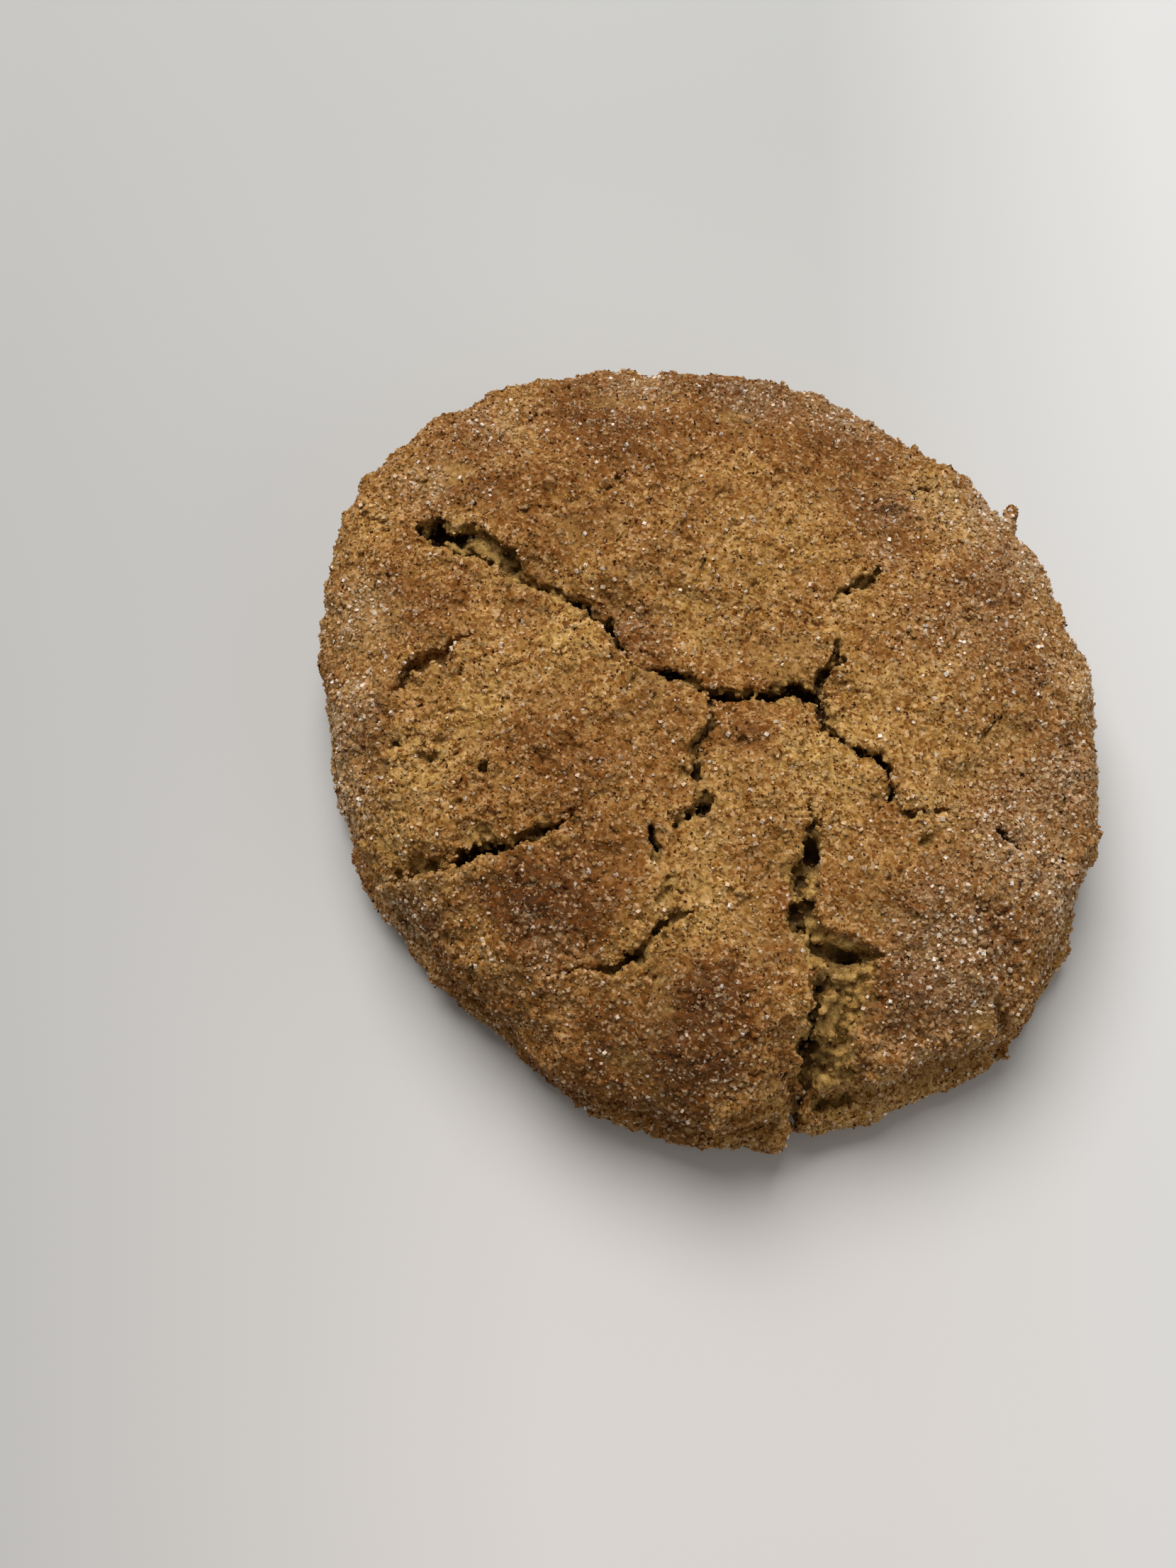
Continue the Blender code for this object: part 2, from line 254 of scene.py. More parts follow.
# Splits in the top: x, y, width and depth along each. lean is how far the bottom lies to the left
# (+) or right (-) of the middle, in half widths; rough is how far its torn walls stray; taper is
# how fast it narrows on its way down, and shade is how strongly painted shade darkens its crumb
# far down. Where a split doesn't say, it is as plainSplit.
plainSplit = dict(lean=0.0, rough=0.3, taper=0.55, shade=1.0)
splits = {
    "upperSplit": dict(lean=0.9, rough=0.5, route=(
        (-37.8, 24.4, 0.5, 1.5), (-36.4, 24.0, 1.4, 5.0), (-35.2, 23.8, 2.6, 6.0), (-34.2, 22.1, 1.8, 6.0),
        (-32.6, 20.9, 1.2, 5.5), (-30.9, 20.0, 1.6, 5.5), (-29.2, 19.4, 1.0, 5.0), (-27.0, 17.9, 1.0, 4.5),
        (-25.2, 16.2, 1.6, 5.0), (-23.6, 15.9, 1.9, 5.0), (-21.0, 15.0, 2.3, 5.0), (-18.2, 13.7, 2.2, 4.8),
        (-15.6, 12.0, 2.6, 5.2), (-13.4, 9.8, 2.6, 5.2),
        (-12.0, 8.0, 2.5, 5.0), (-10.0, 5.1, 2.4, 5.0), (-6.0, 3.2, 2.1, 4.6),
        (-2.9, 2.1, 1.8, 3.5), (-0.6, 0.7, 1.9, 4.0), (2.4, 0.5, 2.1, 5.0), (5.7, 0.9, 2.5, 5.5),
        (8.6, 1.0, 2.7, 5.5), (11.1, 1.1, 3.2, 6.0), (13.5, 0.4, 1.6, 5.0),
    )),
    "upperMouth": dict(lean=0.9, rough=0.7, taper=0.35, shade=0.75, route=(
        (-36.2, 24.6, 1.4, 3.6), (-34.6, 23.7, 3.2, 6.0), (-32.4, 22.5, 3.6, 5.2),
        (-30.0, 21.0, 3.8, 2.6), (-27.8, 19.8, 3.8, 3.2), (-25.8, 18.2, 3.6, 3.4),
        (-23.4, 16.6, 2.0, 2.4), (-20.8, 15.8, 1.4, 2.0),
    )),
    "forkUp": dict(rough=0.4, route=(
        (12.5, -0.7, 1.4, 4.0), (13.3, 3.0, 0.9, 4.0), (14.9, 4.7, 1.4, 4.0),
        (15.8, 7.0, 0.4, 1.5),
    )),
    "forkDown": dict(rough=0.4, route=(
        (12.3, 1.0, 1.4, 4.0), (13.6, -3.2, 1.1, 4.0), (15.2, -5.2, 0.5, 2.4),
        (18.0, -6.7, 0.4, 2.2), (19.6, -7.6, 1.6, 4.5), (20.4, -9.0, 2.5, 6.0), (20.8, -11.0, 1.4, 5.0),
        (21.6, -12.8, 0.3, 1.6),
    )),
    "middleSeam": dict(rough=0.45, route=(
        (-0.6, 1.1, 1.2, 3.5), (-0.8, -2.9, 1.3, 3.0), (-2.0, -5.8, 1.0, 2.6),
        (-2.5, -9.2, 0.9, 2.8), (-1.4, -11.6, 1.2, 3.6), (-1.4, -13.4, 2.0, 4.4),
        (-2.5, -14.7, 1.3, 3.8), (-5.4, -16.0, 0.8, 2.6), (-7.4, -16.6, 0.6, 2.0),
    )),
    "lowerLeftSplit": dict(lean=0.9, rough=0.5, route=(
        (-41.7, -20.2, 0.6, 1.4), (-37.8, -20.2, 1.2, 2.5), (-34.2, -20.0, 1.9, 3.5),
        (-30.6, -19.4, 2.2, 5.0), (-27.1, -18.3, 1.6, 5.5), (-23.0, -17.5, 1.4, 5.5),
        (-19.5, -16.5, 1.5, 4.5), (-17.0, -15.5, 0.8, 3.0), (-15.0, -14.9, 0.3, 1.2),
    )),
    "lowerSeam": dict(lean=-0.8, rough=0.4, route=(
        (-4.0, -26.9, 0.4, 1.4), (-7.4, -29.4, 1.1, 2.8), (-9.6, -31.9, 1.6, 3.6),
        (-12.6, -33.1, 0.4, 1.6), (-17.0, -33.1, 0.9, 2.4), (-19.2, -33.6, 0.8, 2.2),
        (-21.1, -34.4, 0.4, 1.4),
    )),
    "gashTop": dict(lean=-0.2, rough=0.8, taper=0.35, shade=0.75, route=(
        (12.5, -13.2, 0.5, 1.5), (11.1, -16.3, 1.0, 4.0), (11.4, -19.5, 1.4, 5.0),
        (10.8, -21.6, 2.6, 4.5), (10.8, -23.3, 2.5, 4.2), (11.6, -24.7, 2.6, 4.0),
        (10.5, -26.2, 4.2, 4.6), (10.5, -27.2, 4.0, 4.6), (11.7, -28.6, 3.0, 4.8),
        (12.4, -30.0, 2.8, 4.8),
    )),
    "frontGash": dict(lean=-0.15, rough=0.9, taper=0.5, shade=0.6, route=(
        (12.2, -29.3, 3.4, 4.5), (13.6, -31.4, 4.8, 4.5), (15.6, -33.2, 5.8, 4.0),
        (14.9, -35.4, 7.0, 3.8), (14.5, -38.4, 7.4, 3.8), (14.1, -41.0, 8.2, 3.8),
        (14.0, -43.4, 8.4, 4.0), (14.0, -45.4, 7.4, 4.2), (13.0, -47.0, 4.0, 3.6),
    )),
    "gashDeep": dict(lean=-0.2, rough=0.8, taper=0.5, shade=0.8, route=(
        (12.0, -28.6, 1.6, 5.0), (13.9, -31.4, 1.6, 5.5), (13.7, -33.4, 1.8, 6.0), (12.3, -35.2, 2.9, 8.5),
        (12.0, -37.2, 2.2, 9.0), (11.9, -39.2, 2.4, 9.0), (11.2, -41.2, 3.0, 9.0),
        (11.2, -43.2, 2.6, 9.0), (11.6, -44.8, 1.5, 8.5), (11.4, -46.4, 1.6, 9.0),
    )),
    "gashNotch": dict(taper=0.25, route=(
        (11.4, -45.6, 1.4, 6.0), (10.7, -47.0, 2.4, 9.0), (10.3, -48.6, 3.0, 12.0),
        (10.0, -50.5, 3.4, 14.0), (10.0, -55.0, 4.4, 15.0),
    )),
    # where the lower layer comes out from under the plates
    "footLine": dict(lean=1.2, rough=0.5, route=(
        (10.6, -46.2, 1.0, 2.0), (14.0, -45.5, 0.9, 1.8), (16.5, -45.8, 0.9, 1.8),
        (19.2, -46.2, 1.0, 1.8), (21.9, -45.0, 0.9, 1.6), (24.0, -43.4, 0.8, 1.6),
        (26.9, -42.8, 0.7, 1.3), (29.9, -41.6, 0.5, 1.0), (32.8, -40.2, 0.4, 0.8),
    )),
    "footLineLeft": dict(lean=-1.2, rough=0.5, route=(
        (10.4, -46.9, 1.4, 2.5), (7.2, -48.6, 1.5, 2.8), (4.6, -49.6, 1.2, 2.4),
        (1.0, -50.6, 0.9, 1.8), (-2.0, -51.2, 0.5, 1.0),
    )),
    "gashPocket": dict(rough=0.5, taper=0.3, shade=0.75, route=(
        (12.8, -30.4, 3.0, 4.8), (15.4, -31.0, 3.8, 4.6), (17.6, -31.0, 2.8, 3.4),
        (19.0, -31.2, 1.2, 1.6),
    )),
    "thinUp": dict(route=(
        (15.9, 13.7, 0.9, 2.4), (18.1, 15.5, 1.5, 3.6), (21.7, 18.4, 0.9, 2.2),
    )),
    "seamEnd": dict(route=(
        (-4.4, -21.7, 0.4, 1.0), (-5.8, -23.8, 0.6, 1.5), (-7.0, -26.6, 0.4, 1.0),
    )),
    "seamHole": dict(route=(
        (-8.3, -16.6, 1.9, 4.0), (-7.8, -18.4, 1.7, 4.4), (-7.6, -19.9, 0.7, 1.8),
    )),
    "nick": dict(route=(
        (-30.6, -26.9, 0.6, 1.0), (-29.7, -27.8, 0.8, 1.4), (-30.9, -28.7, 0.5, 1.0),
    )),
    "leftLong": dict(lean=0.8, rough=0.4, route=(
        (-44.3, 2.1, 0.9, 1.6), (-42.2, 1.5, 1.2, 2.2), (-40.8, 2.7, 1.6, 3.0), (-39.4, 2.0, 2.1, 3.8),
        (-38.0, 3.2, 2.9, 4.8), (-37.4, 5.3, 1.7, 3.6), (-35.6, 4.6, 1.4, 2.8), (-34.4, 6.0, 1.5, 3.0),
        (-32.6, 5.4, 1.2, 2.4), (-31.4, 7.3, 1.1, 2.2), (-30.1, 8.0, 1.1, 2.2), (-28.3, 9.3, 0.6, 1.4),
    )),
    "leftLow": dict(route=(
        (-44.6, 2.8, 0.4, 1.0), (-40.8, 2.7, 0.4, 1.0),
    )),
    "leftShort": dict(route=(
        (-27.8, -1.0, 0.3, 0.8), (-26.1, -0.8, 0.6, 1.2), (-24.9, 0.1, 0.4, 0.9), (-23.6, 0.4, 0.2, 0.6),
    )),
    "leftCurve": dict(route=(
        (-30.6, -8.2, 0.3, 0.8), (-28.6, -8.7, 0.7, 1.4), (-27.3, -7.5, 0.9, 1.6),
        (-25.8, -6.3, 0.6, 1.2), (-24.0, -6.0, 0.3, 0.8),
    )),
    "leftPit": dict(route=(
        (-39.7, -4.8, 0.6, 1.4), (-38.8, -3.7, 0.6, 1.2), (-37.6, -1.9, 0.2, 0.6), (-36.4, -0.9, 0.2, 0.5),
    )),
    "leftRim": dict(route=(
        (-43.7, -6.4, 0.5, 1.2), (-42.4, -6.3, 0.7, 1.4), (-41.0, -5.8, 0.3, 0.8),
    )),
    "leftLast": dict(route=(
        (-36.8, -6.3, 0.5, 1.2), (-35.4, -6.9, 0.8, 1.6), (-34.0, -6.6, 0.4, 1.0),
    )),
    "rightLow": dict(rough=0.35, route=(
        (22.3, -14.7, 0.6, 1.4), (28.0, -14.3, 1.0, 2.2), (32.4, -14.4, 1.4, 2.8),
        (35.0, -16.8, 2.2, 4.0), (38.0, -18.8, 1.6, 3.2), (43.9, -20.8, 0.8, 1.8),
    )),
    "rightHigh": dict(route=(
        (32.8, -0.4, 0.3, 0.7), (34.2, 0.0, 0.4, 0.8), (37.2, -0.5, 0.4, 0.8),
        (39.7, -1.2, 0.4, 0.8), (41.8, -1.6, 0.3, 0.6),
    )),
    "rightTop": dict(route=(
        (27.9, 29.9, 0.5, 1.0), (29.0, 29.3, 0.5, 1.0),
    )),
    "rightEdge": dict(route=(
        (42.5, -18.5, 0.8, 1.6), (44.1, -19.2, 0.6, 1.2),
    )),
    "rimNick": dict(rough=0.4, route=(
        (34.2, -35.4, 0.5, 1.4), (35.4, -38.0, 1.4, 4.0), (36.2, -40.2, 1.0, 3.0),
    )),
}
splits = {name: {**plainSplit, **split} for name, split in splits.items()}

# Splits that the coat reaches into, so that no bare crumb shows
creases = (
    "footLine", "footLineLeft", "rimNick", "leftLong", "leftLow", "leftShort", "rightHigh", "leftRim",
)

# Plates that rise or dip towards a split: split, side (1 left of its way, -1 right), from and to
# along it (0 to 1), height at the split, reach
ledges = (
    ("upperSplit", 1, 0.16, 0.72, -4.2, 9.0),
    ("upperSplit", 1, 0.76, 1.2, -1.6, 7.0),
    ("upperSplit", -1, 0.05, 0.74, 0.9, 7.0),
    ("forkUp", 1, 0.0, 1.0, -1.0, 6.0),
    ("middleSeam", -1, 0.0, 0.55, 0.8, 6.0),
    ("middleSeam", 1, 0.1, 0.6, -0.9, 4.0),
    ("lowerLeftSplit", -1, -0.2, 1.2, 1.0, 7.0),
    ("lowerLeftSplit", 1, -0.2, 1.2, -1.2, 5.0),
    ("frontGash", -1, 0.0, 1.2, 0.8, 6.0),
    ("frontGash", 1, 0.4, 1.2, -0.5, 4.0),
    ("forkDown", 1, 0.1, 1.2, 0.9, 6.0),
    ("forkDown", -1, 0.1, 1.2, -0.7, 4.0),
    ("lowerSeam", -1, 0.0, 1.0, -0.9, 5.0),
    ("lowerSeam", 1, 0.0, 1.0, 0.7, 5.0),
    ("leftLong", 1, 0.0, 1.0, -0.9, 4.0),
    ("leftLong", -1, 0.0, 1.0, 0.6, 3.0),
    ("leftCurve", 1, 0.0, 1.0, -0.7, 3.0),
    ("rightLow", 1, 0.2, 1.0, -0.8, 5.0),
    ("rightLow", -1, 0.2, 1.0, 0.5, 4.0),
    ("footLine", 1, 0.0, 1.2, 1.2, 5.0),
    ("footLineLeft", -1, 0.0, 1.0, 1.0, 5.0),
)

# Places where the skin has flaked off and the crumb shows: x, y, reach along x, along y, depth
flakes = (
    (-37.4, 4.6, 2.2, 1.0, 1.3), (-41.0, -7.0, 1.8, 1.1, 1.1), (-38.0, -9.6, 1.6, 0.9, 1.0),
    (-33.4, -5.0, 1.5, 0.8, 0.9), (24.0, 27.0, 2.2, 1.3, 1.2), (28.8, 31.0, 1.5, 1.0, 1.2),
    (38.3, -21.0, 2.6, 1.1, 1.3), (25.3, -17.6, 1.6, 0.8, 0.9),
    (-36.0, -18.6, 4.4, 1.9, 1.3), (-30.6, 22.2, 3.2, 1.5, 1.4), (-25.0, 18.6, 2.4, 1.2, 0.9),
    (18.8, -37.6, 2.2, 5.5, 0.9), (17.2, -26.2, 2.6, 1.6, 0.5), (-4.5, 3.4, 2.0, 1.0, 0.5),
    (27.4, 29.6, 3.2, 3.6, 1.1), (-38.0, -4.5, 2.2, 3.0, 0.6), (-29.0, -16.6, 3.4, 1.5, 1.0),
    (31.0, 25.0, 2.4, 3.0, 0.9), (-34.6, -9.4, 2.0, 1.4, 0.6), (36.0, -17.4, 2.4, 1.1, 0.9),
)

relief = {
    "seed": 11,
    "step": 0.3,  # of the grid that the surface is shaped on
    "reach": 6.0,  # how far from the surface the grid holds true distances
    "padding": 6,  # empty cells round the form
    "surfaceReach": 0.55,  # of a step, within which a cell of the grid counts as on the surface
    "splitReach": 2.5,  # how far beyond a split's width its torn walls may stray
    "margin": 8.0,  # round a split or a flake, in the piece of the grid that it is cut into
    "flare": 0.35,  # a split's lips lean out by this much for each depth above the skin
    "roughFrom": 4.0,  # its walls are at their roughest from one part in this of its depth
    # size and height of the crust's unevenness, of the torn crumb's and of the torn walls'
    "skin": ((11.0, 0.90), (5.5, 0.74), (2.8, 0.56), (1.4, 0.33), (0.8, 0.20)),
    "crumb": ((2.4, 0.44), (1.2, 0.42), (0.75, 0.40), (0.5, 0.32)),
    "walls": ((1.7, 1.0), (0.9, 0.6)),
    "skinDepth": 0.55,  # below this the crumb shows
    "warp": ((2.6, 0.55), (1.1, 0.35)),  # steps in the broken edges: size and how far
    "openMore": 0.25,  # each side of a split, because the grains narrow it again
    "rimRaise": 0.25,  # the broken edges of a split stand up by this much
    "rimReach": 1.2,
    "deepEnough": 3.0,  # a split of this depth or more has fully raised edges
    "ledgeEase": 0.12,  # of a split's length, over which a ledge beside it starts and ends
    "ledgeCurve": 1.8,
    "liftFrom": (9.0, 6.0),  # plates move only above this height, and fully this much higher
    "shadeReach": 1.5,  # beyond a split's width
    "wideShade": 0.7,  # splits shaded less than this are wide ones
    "flakeSlope": 0.8,
    "shrink": 0.3,  # taken off all round, because the grains add it again
    "tableReach": 1.5,  # nothing is taken off at the table, and all of it from this height
    "unevenFrom": (0.4, 1.6),  # the table side is smooth, and above it the relief comes in
    # thin creases along a wandering noise's nought, in some places only: how big its turns are,
    # its jags and how far they reach, the patches that have creases and how sharp they end
    "hairlines": dict(size=4.6, jag=1.5, jagged=0.4, width=0.10, depth=0.75, patches=9.0, edges=(3.0, 0.1)),
    # torn layers that stick out across the wide gash
    "flakeRidges": (((4.0, 1.3, 1.8), 1.1), ((2.0, 0.8, 1.1), 0.6)),
    # torn teeth of crumb: how many, length, radius at the root and at the tip, the least share of
    # it, which way they point for each step to the left, and where they are
    "teeth": dict(
        count=70, length=(1.0, 2.6), root=0.75, tip=0.26, least=0.5, sideways=(-0.35, 0.2),
        upward=(-0.1, 0.5), stride=0.7, middle=(15.6, -39.0), reach=(3.2, 7.5), torn=0.8,
    ),
    # crumbs baked onto the side, which show in the outline: angle, height, how far out, radius
    "rimCrumbs": (
        (36.0, 12.6, 0.2, 1.3), (36.6, 13.0, 1.3, 0.9), (37.4, 13.3, 2.2, 0.6), (29.5, 13.0, 0.1, 0.68),
        (21.0, 12.6, 0.1, 0.6), (-15.5, 13.4, 0.0, 0.6), (-24.8, 12.6, 0.1, 0.68),
        (-25.6, 12.4, 0.9, 0.38), (44.6, 13.0, 0.1, 0.6), (54.5, 13.2, 0.0, 0.6),
        (128.0, 13.4, -0.1, 0.6), (-35.0, 12.4, 0.0, 0.6), (-157.0, 12.6, 0.0, 0.68),
        (-144.0, 12.6, -0.1, 0.6), (-125.0, 12.2, 0.0, 0.68), (4.0, 13.0, -0.1, 0.6),
    ),
    # coarse sugar baked into the skin, pores and lumps in the torn crumb: how many, the least and
    # largest radius, how far the middle lies outside (+) or inside (-) the surface in radii, the
    # lowest place, and how torn the surface is there at most (grains) or at least
    "grains": dict(count=15000, radius=(0.22, 0.45), out=-0.3, lowest=0.8, torn=0.35),
    "pores": dict(count=1500, radius=(0.30, 0.8), out=0.35, lowest=-1.0, torn=0.6),
    "lumps": dict(count=750, radius=(0.22, 0.42), out=-0.2, lowest=-1.0, torn=0.5),
    "jitter": 0.14,  # how far each point of the mesh strays, which makes the surface sandy
    "jitterSeed": 5,
    "plainBelow": 0.7,  # no jitter or loose grains under this height
    # turn is in radians for each step of the walk, and edge is in cells from the grid's end
    "wrinkles": dict(
        count=700, lowest=6.0, length=(1.5, 5.0), turn=0.5, radius=0.34, edge=8, torn=0.1,
    ),
}


def resampleRoute(route, spacing=0.5):
    # Catmull-Rom through the named places
    route = np.array(route, float)
    rows = []
    for index in range(len(route) - 1):
        before, start = route[max(index - 1, 0)], route[index]
        end, after = route[index + 1], route[min(index + 2, len(route) - 1)]
        count = max(int(round(np.hypot(*(end - start)[:2]) / spacing)), 1)
        for t in np.arange(count) / count:
            rise, fall = (end - before) / 2, (after - start) / 2
            rows.append(
                (2 * t**3 - 3 * t**2 + 1) * start + (t**3 - 2 * t**2 + t) * rise
                + (3 * t**2 - 2 * t**3) * end + (t**3 - t**2) * fall
            )
    rows.append(route[-1])
    rows = np.array(rows)
    rows[:, :2] -= form["centring"]
    return rows


def measureRoute(rows, x, y):
    # for each place: how far it is from the route (left is +), the width, depth and share there
    best = np.full(x.shape, 1e9)
    away, width, depth, share = (np.zeros(x.shape) for _ in range(4))
    for index in range(len(rows) - 1):
        ax, ay = rows[index, :2]
        dx, dy = rows[index + 1, :2] - rows[index, :2]
        length = dx * dx + dy * dy
        t = np.clip(((x - ax) * dx + (y - ay) * dy) / length, 0.0, 1.0)
        distance = np.hypot(x - ax - t * dx, y - ay - t * dy)
        near = distance < best
        side = np.sign(dx * (y - ay) - dy * (x - ax))
        best = np.where(near, distance, best)
        away = np.where(near, distance * np.where(side == 0, 1.0, side), away)
        width = np.where(near, rows[index, 2] + (rows[index + 1, 2] - rows[index, 2]) * t, width)
        depth = np.where(near, rows[index, 3] + (rows[index + 1, 3] - rows[index, 3]) * t, depth)
        share = np.where(near, (index + t) / (len(rows) - 1), share)
    return away, width, depth, share


def latticeNoise(draw, shape, step, size):
    # smooth random values from -1 to 1 over a grid, with one draw for each `size` millimetres;
    # a size may differ along each axis
    sizes = np.broadcast_to(size, len(shape))
    values = draw.uniform(-1.0, 1.0, [int(n * step / wide) + 4 for n, wide in zip(shape, sizes)])
    values = values.astype(np.float32)
    for axis, (count, wide) in enumerate(zip(shape, sizes)):
        place = np.arange(count) * step / wide + draw.uniform(0.0, 1.0)
        first = np.floor(place).astype(int)
        share = ease(place - first).reshape([-1 if k == axis else 1 for k in range(len(shape))])
        near, far = np.take(values, first, axis), np.take(values, first + 1, axis)
        values = near + (far - near) * share.astype(np.float32)
    return values


def gradientAt(field, i, j, k):
    slope = np.stack([
        field[i + 1, j, k] - field[i - 1, j, k],
        field[i, j + 1, k] - field[i, j - 1, k],
        field[i, j, k + 1] - field[i, j, k - 1],
    ], axis=-1)
    return slope / np.maximum(np.linalg.norm(slope, axis=1, keepdims=True), 1e-6)


def surfaceCells(field, step, allowed=None):
    near = np.abs(field[2:-2, 2:-2, 2:-2]) < relief["surfaceReach"] * step
    if allowed is not None:
        near &= allowed[2:-2, 2:-2, 2:-2]
    return np.stack(np.nonzero(near), axis=-1) + 2


def stampBalls(field, step, cells, centres, radii, adds):
    # adds or takes away a ball round each centre; centres are in cells from the field's corner
    reach = int(math.ceil(radii.max() / step)) + 1
    flat = field.reshape(-1)
    ny, nz = field.shape[1:]
    inside = np.all((cells >= reach) & (cells < np.array(field.shape) - reach), axis=1)
    cells, centres, radii = cells[inside], centres[inside], radii[inside]
    for i in range(-reach, reach + 1):
        for j in range(-reach, reach + 1):
            for k in range(-reach, reach + 1):
                here = cells + (i, j, k)
                distance = np.linalg.norm(here - centres, axis=1) * step - radii
                index = (here[:, 0] * ny + here[:, 1]) * nz + here[:, 2]
                if adds:
                    flat[index] = np.minimum(flat[index], distance)
                else:
                    flat[index] = np.maximum(flat[index], -distance)


def cutSplit(field, axes, top, bent, split, roughness):
    # takes the split's channel out of the field, column by column
    x, y, heights = axes
    rows = resampleRoute(split["route"])
    low, high = rows[:, :2].min(0) - relief["margin"], rows[:, :2].max(0) + relief["margin"]
    i = slice(*np.searchsorted(x, (low[0], high[0])))
    j = slice(*np.searchsorted(y, (low[1], high[1])))
    away, width, depth, _ = measureRoute(rows, bent[0][i, j], bent[1][i, j])
    ci, cj = np.nonzero(np.abs(away) < width / 2 + relief["splitReach"])
    share = (top[i, j][ci, cj][:, None] - heights[None, :]) / depth[ci, cj][:, None]
    within = np.clip(share, 0.0, 1.0)
    half = width[ci, cj][:, None] / 2 + relief["openMore"]
    opened = half * (1.0 - within) ** split["taper"] + relief["flare"] * np.clip(-share, 0.0, 1.0)
    aside = np.abs(away[ci, cj][:, None] - split["lean"] * half * within)
    fadeIn = ease(within * relief["roughFrom"])
    stray = roughness[i, j][ci, cj] * split["rough"] * fadeIn * np.minimum(half, 1.0)
    channel = aside - opened + stray
    channel = np.where(share > 1.0, np.maximum(channel, (share - 1.0) * depth[ci, cj][:, None]), channel)
    view = field[i, j]
    view[ci, cj] = np.maximum(view[ci, cj], -channel)


def solidField(step):
    # distances from the plain form on a grid, the grid's corner, and the places along its axes
    points, triangles, quads = makeForm()
    solid = openvdb.FloatGrid.createLevelSetFromPolygons(
        points.astype(np.float32), triangles.astype(np.uint32), quads.astype(np.uint32),
        openvdb.createLinearTransform(step), relief["reach"] / step,
    )
    corner = np.floor(points.min(0) / step).astype(int) - relief["padding"]
    shape = tuple(np.ceil(points.max(0) / step).astype(int) + relief["padding"] + 1 - corner)
    field = np.zeros(shape, np.float32)
    solid.copyToArray(field, ijk=tuple(int(c) for c in corner))
    return field, corner, [(np.arange(n) + c) * step for n, c in zip(shape, corner)]


def topOver(field, step, flatX, flatY, z):
    # the height of the form's top over each place, with its dome carried on beside it
    inside = field < 0.0
    last = len(z) - 1 - np.argmax(inside[:, :, ::-1], axis=2)
    above = np.minimum(last + 1, len(z) - 1)
    at, over = (np.take_along_axis(field, level[:, :, None], 2)[:, :, 0] for level in (last, above))
    highest = z[last] - step * at / np.maximum(over - at, 1e-6)
    beside = topHeight(flatX + form["centring"][0], flatY + form["centring"][1])
    return np.where(inside.any(axis=2), highest, beside)


def liftPlates(bentX, bentY):
    # how far the plates stand higher or lower and the splits' crumbly rims rise, how near a split
    # is, and its shade
    lift = np.zeros(bentX.shape)
    for name, side, start, end, high, reach in ledges:
        away, _, _, share = measureRoute(resampleRoute(splits[name]["route"]), bentX, bentY)
        along = ease((share - start) / relief["ledgeEase"]) * ease((end - share) / relief["ledgeEase"])
        near = np.clip(1.0 - np.abs(away) / reach, 0.0, 1.0) ** relief["ledgeCurve"]
        lift += high * along * (away * side > 0) * near
    nearness = np.zeros(bentX.shape)
    shade = np.ones(bentX.shape)
    for split in splits.values():
        away, width, depth, _ = measureRoute(resampleRoute(split["route"], 1.0), bentX, bentY)
        away = np.abs(away)
        edge = bell((away - width / 2) / relief["rimReach"]) * ease(depth / relief["deepEnough"])
        nearness = np.maximum(nearness, np.where(away < width / 2, 1.0, edge))
        shaded = away < width / 2 + relief["shadeReach"]
        shade = np.where(shaded, np.minimum(shade, split["shade"]), shade)
    return lift + relief["rimRaise"] * nearness, nearness, shade


def cutFlake(field, axes, top, bent, flake):
    # a shallow bowl where the skin has come off
    x, y, z = axes
    cx, cy = flake[0] - form["centring"][0], flake[1] - form["centring"][1]
    reachX, reachY, deep = flake[2:]
    i = slice(*np.searchsorted(x, (cx - relief["margin"], cx + relief["margin"])))
    j = slice(*np.searchsorted(y, (cy - relief["margin"], cy + relief["margin"])))
    across = np.hypot((bent[0][i, j] - cx) / reachX, (bent[1][i, j] - cy) / reachY)
    bowl = top[i, j] - deep * np.sqrt(np.clip(1.0 - across**2, 0.0, 1.0))
    scoop = np.where(across[:, :, None] < 1.0, z[None, None, :] - bowl[:, :, None], -1.0)
    field[i, j] = np.maximum(field[i, j], scoop * relief["flakeSlope"])


def stampSort(draw, field, step, heights, allowed, sort, adds):
    # balls of one sort, at places drawn from the surface where it is allowed
    cells = surfaceCells(field, step, allowed)
    chosen = cells[draw.permutation(len(cells))[:sort["count"]]]
    chosen = chosen[heights[chosen[:, 2]] > sort["lowest"]]
    radii = draw.uniform(*sort["radius"], len(chosen))
    centres = chosen + gradientAt(field, *chosen.T) * (radii * sort["out"] / step)[:, None]
    stampBalls(field, step, chosen, centres, radii, adds)


def growTeeth(draw, field, step, axes, allowed):
    # torn teeth of crumb that reach across the wide gash
    teeth = relief["teeth"]
    cells = surfaceCells(field, step, allowed)
    away = [
        (places[cells[:, axis]] + form["centring"][axis] - teeth["middle"][axis]) / teeth["reach"][axis]
        for axis, places in enumerate(axes[:2])
    ]
    cells = cells[np.hypot(*away) < 1.0]
    place = cells[draw.permutation(len(cells))[:teeth["count"]]].astype(float)
    count = len(place)
    way = np.stack([
        np.full(count, -1.0), draw.uniform(*teeth["sideways"], count), draw.uniform(*teeth["upward"], count),
    ], axis=1)
    length = draw.uniform(*teeth["length"], count)
    big = draw.uniform(teeth["least"], 1.0, count)
    for walk in np.arange(0.0, teeth["length"][1], step * teeth["stride"]):
        alive = walk < length
        radius = (teeth["root"] + (teeth["tip"] - teeth["root"]) * walk / length) * big
        stampBalls(field, step, np.round(place[alive]).astype(int), place[alive], radius[alive], True)
        place += way * teeth["stride"]


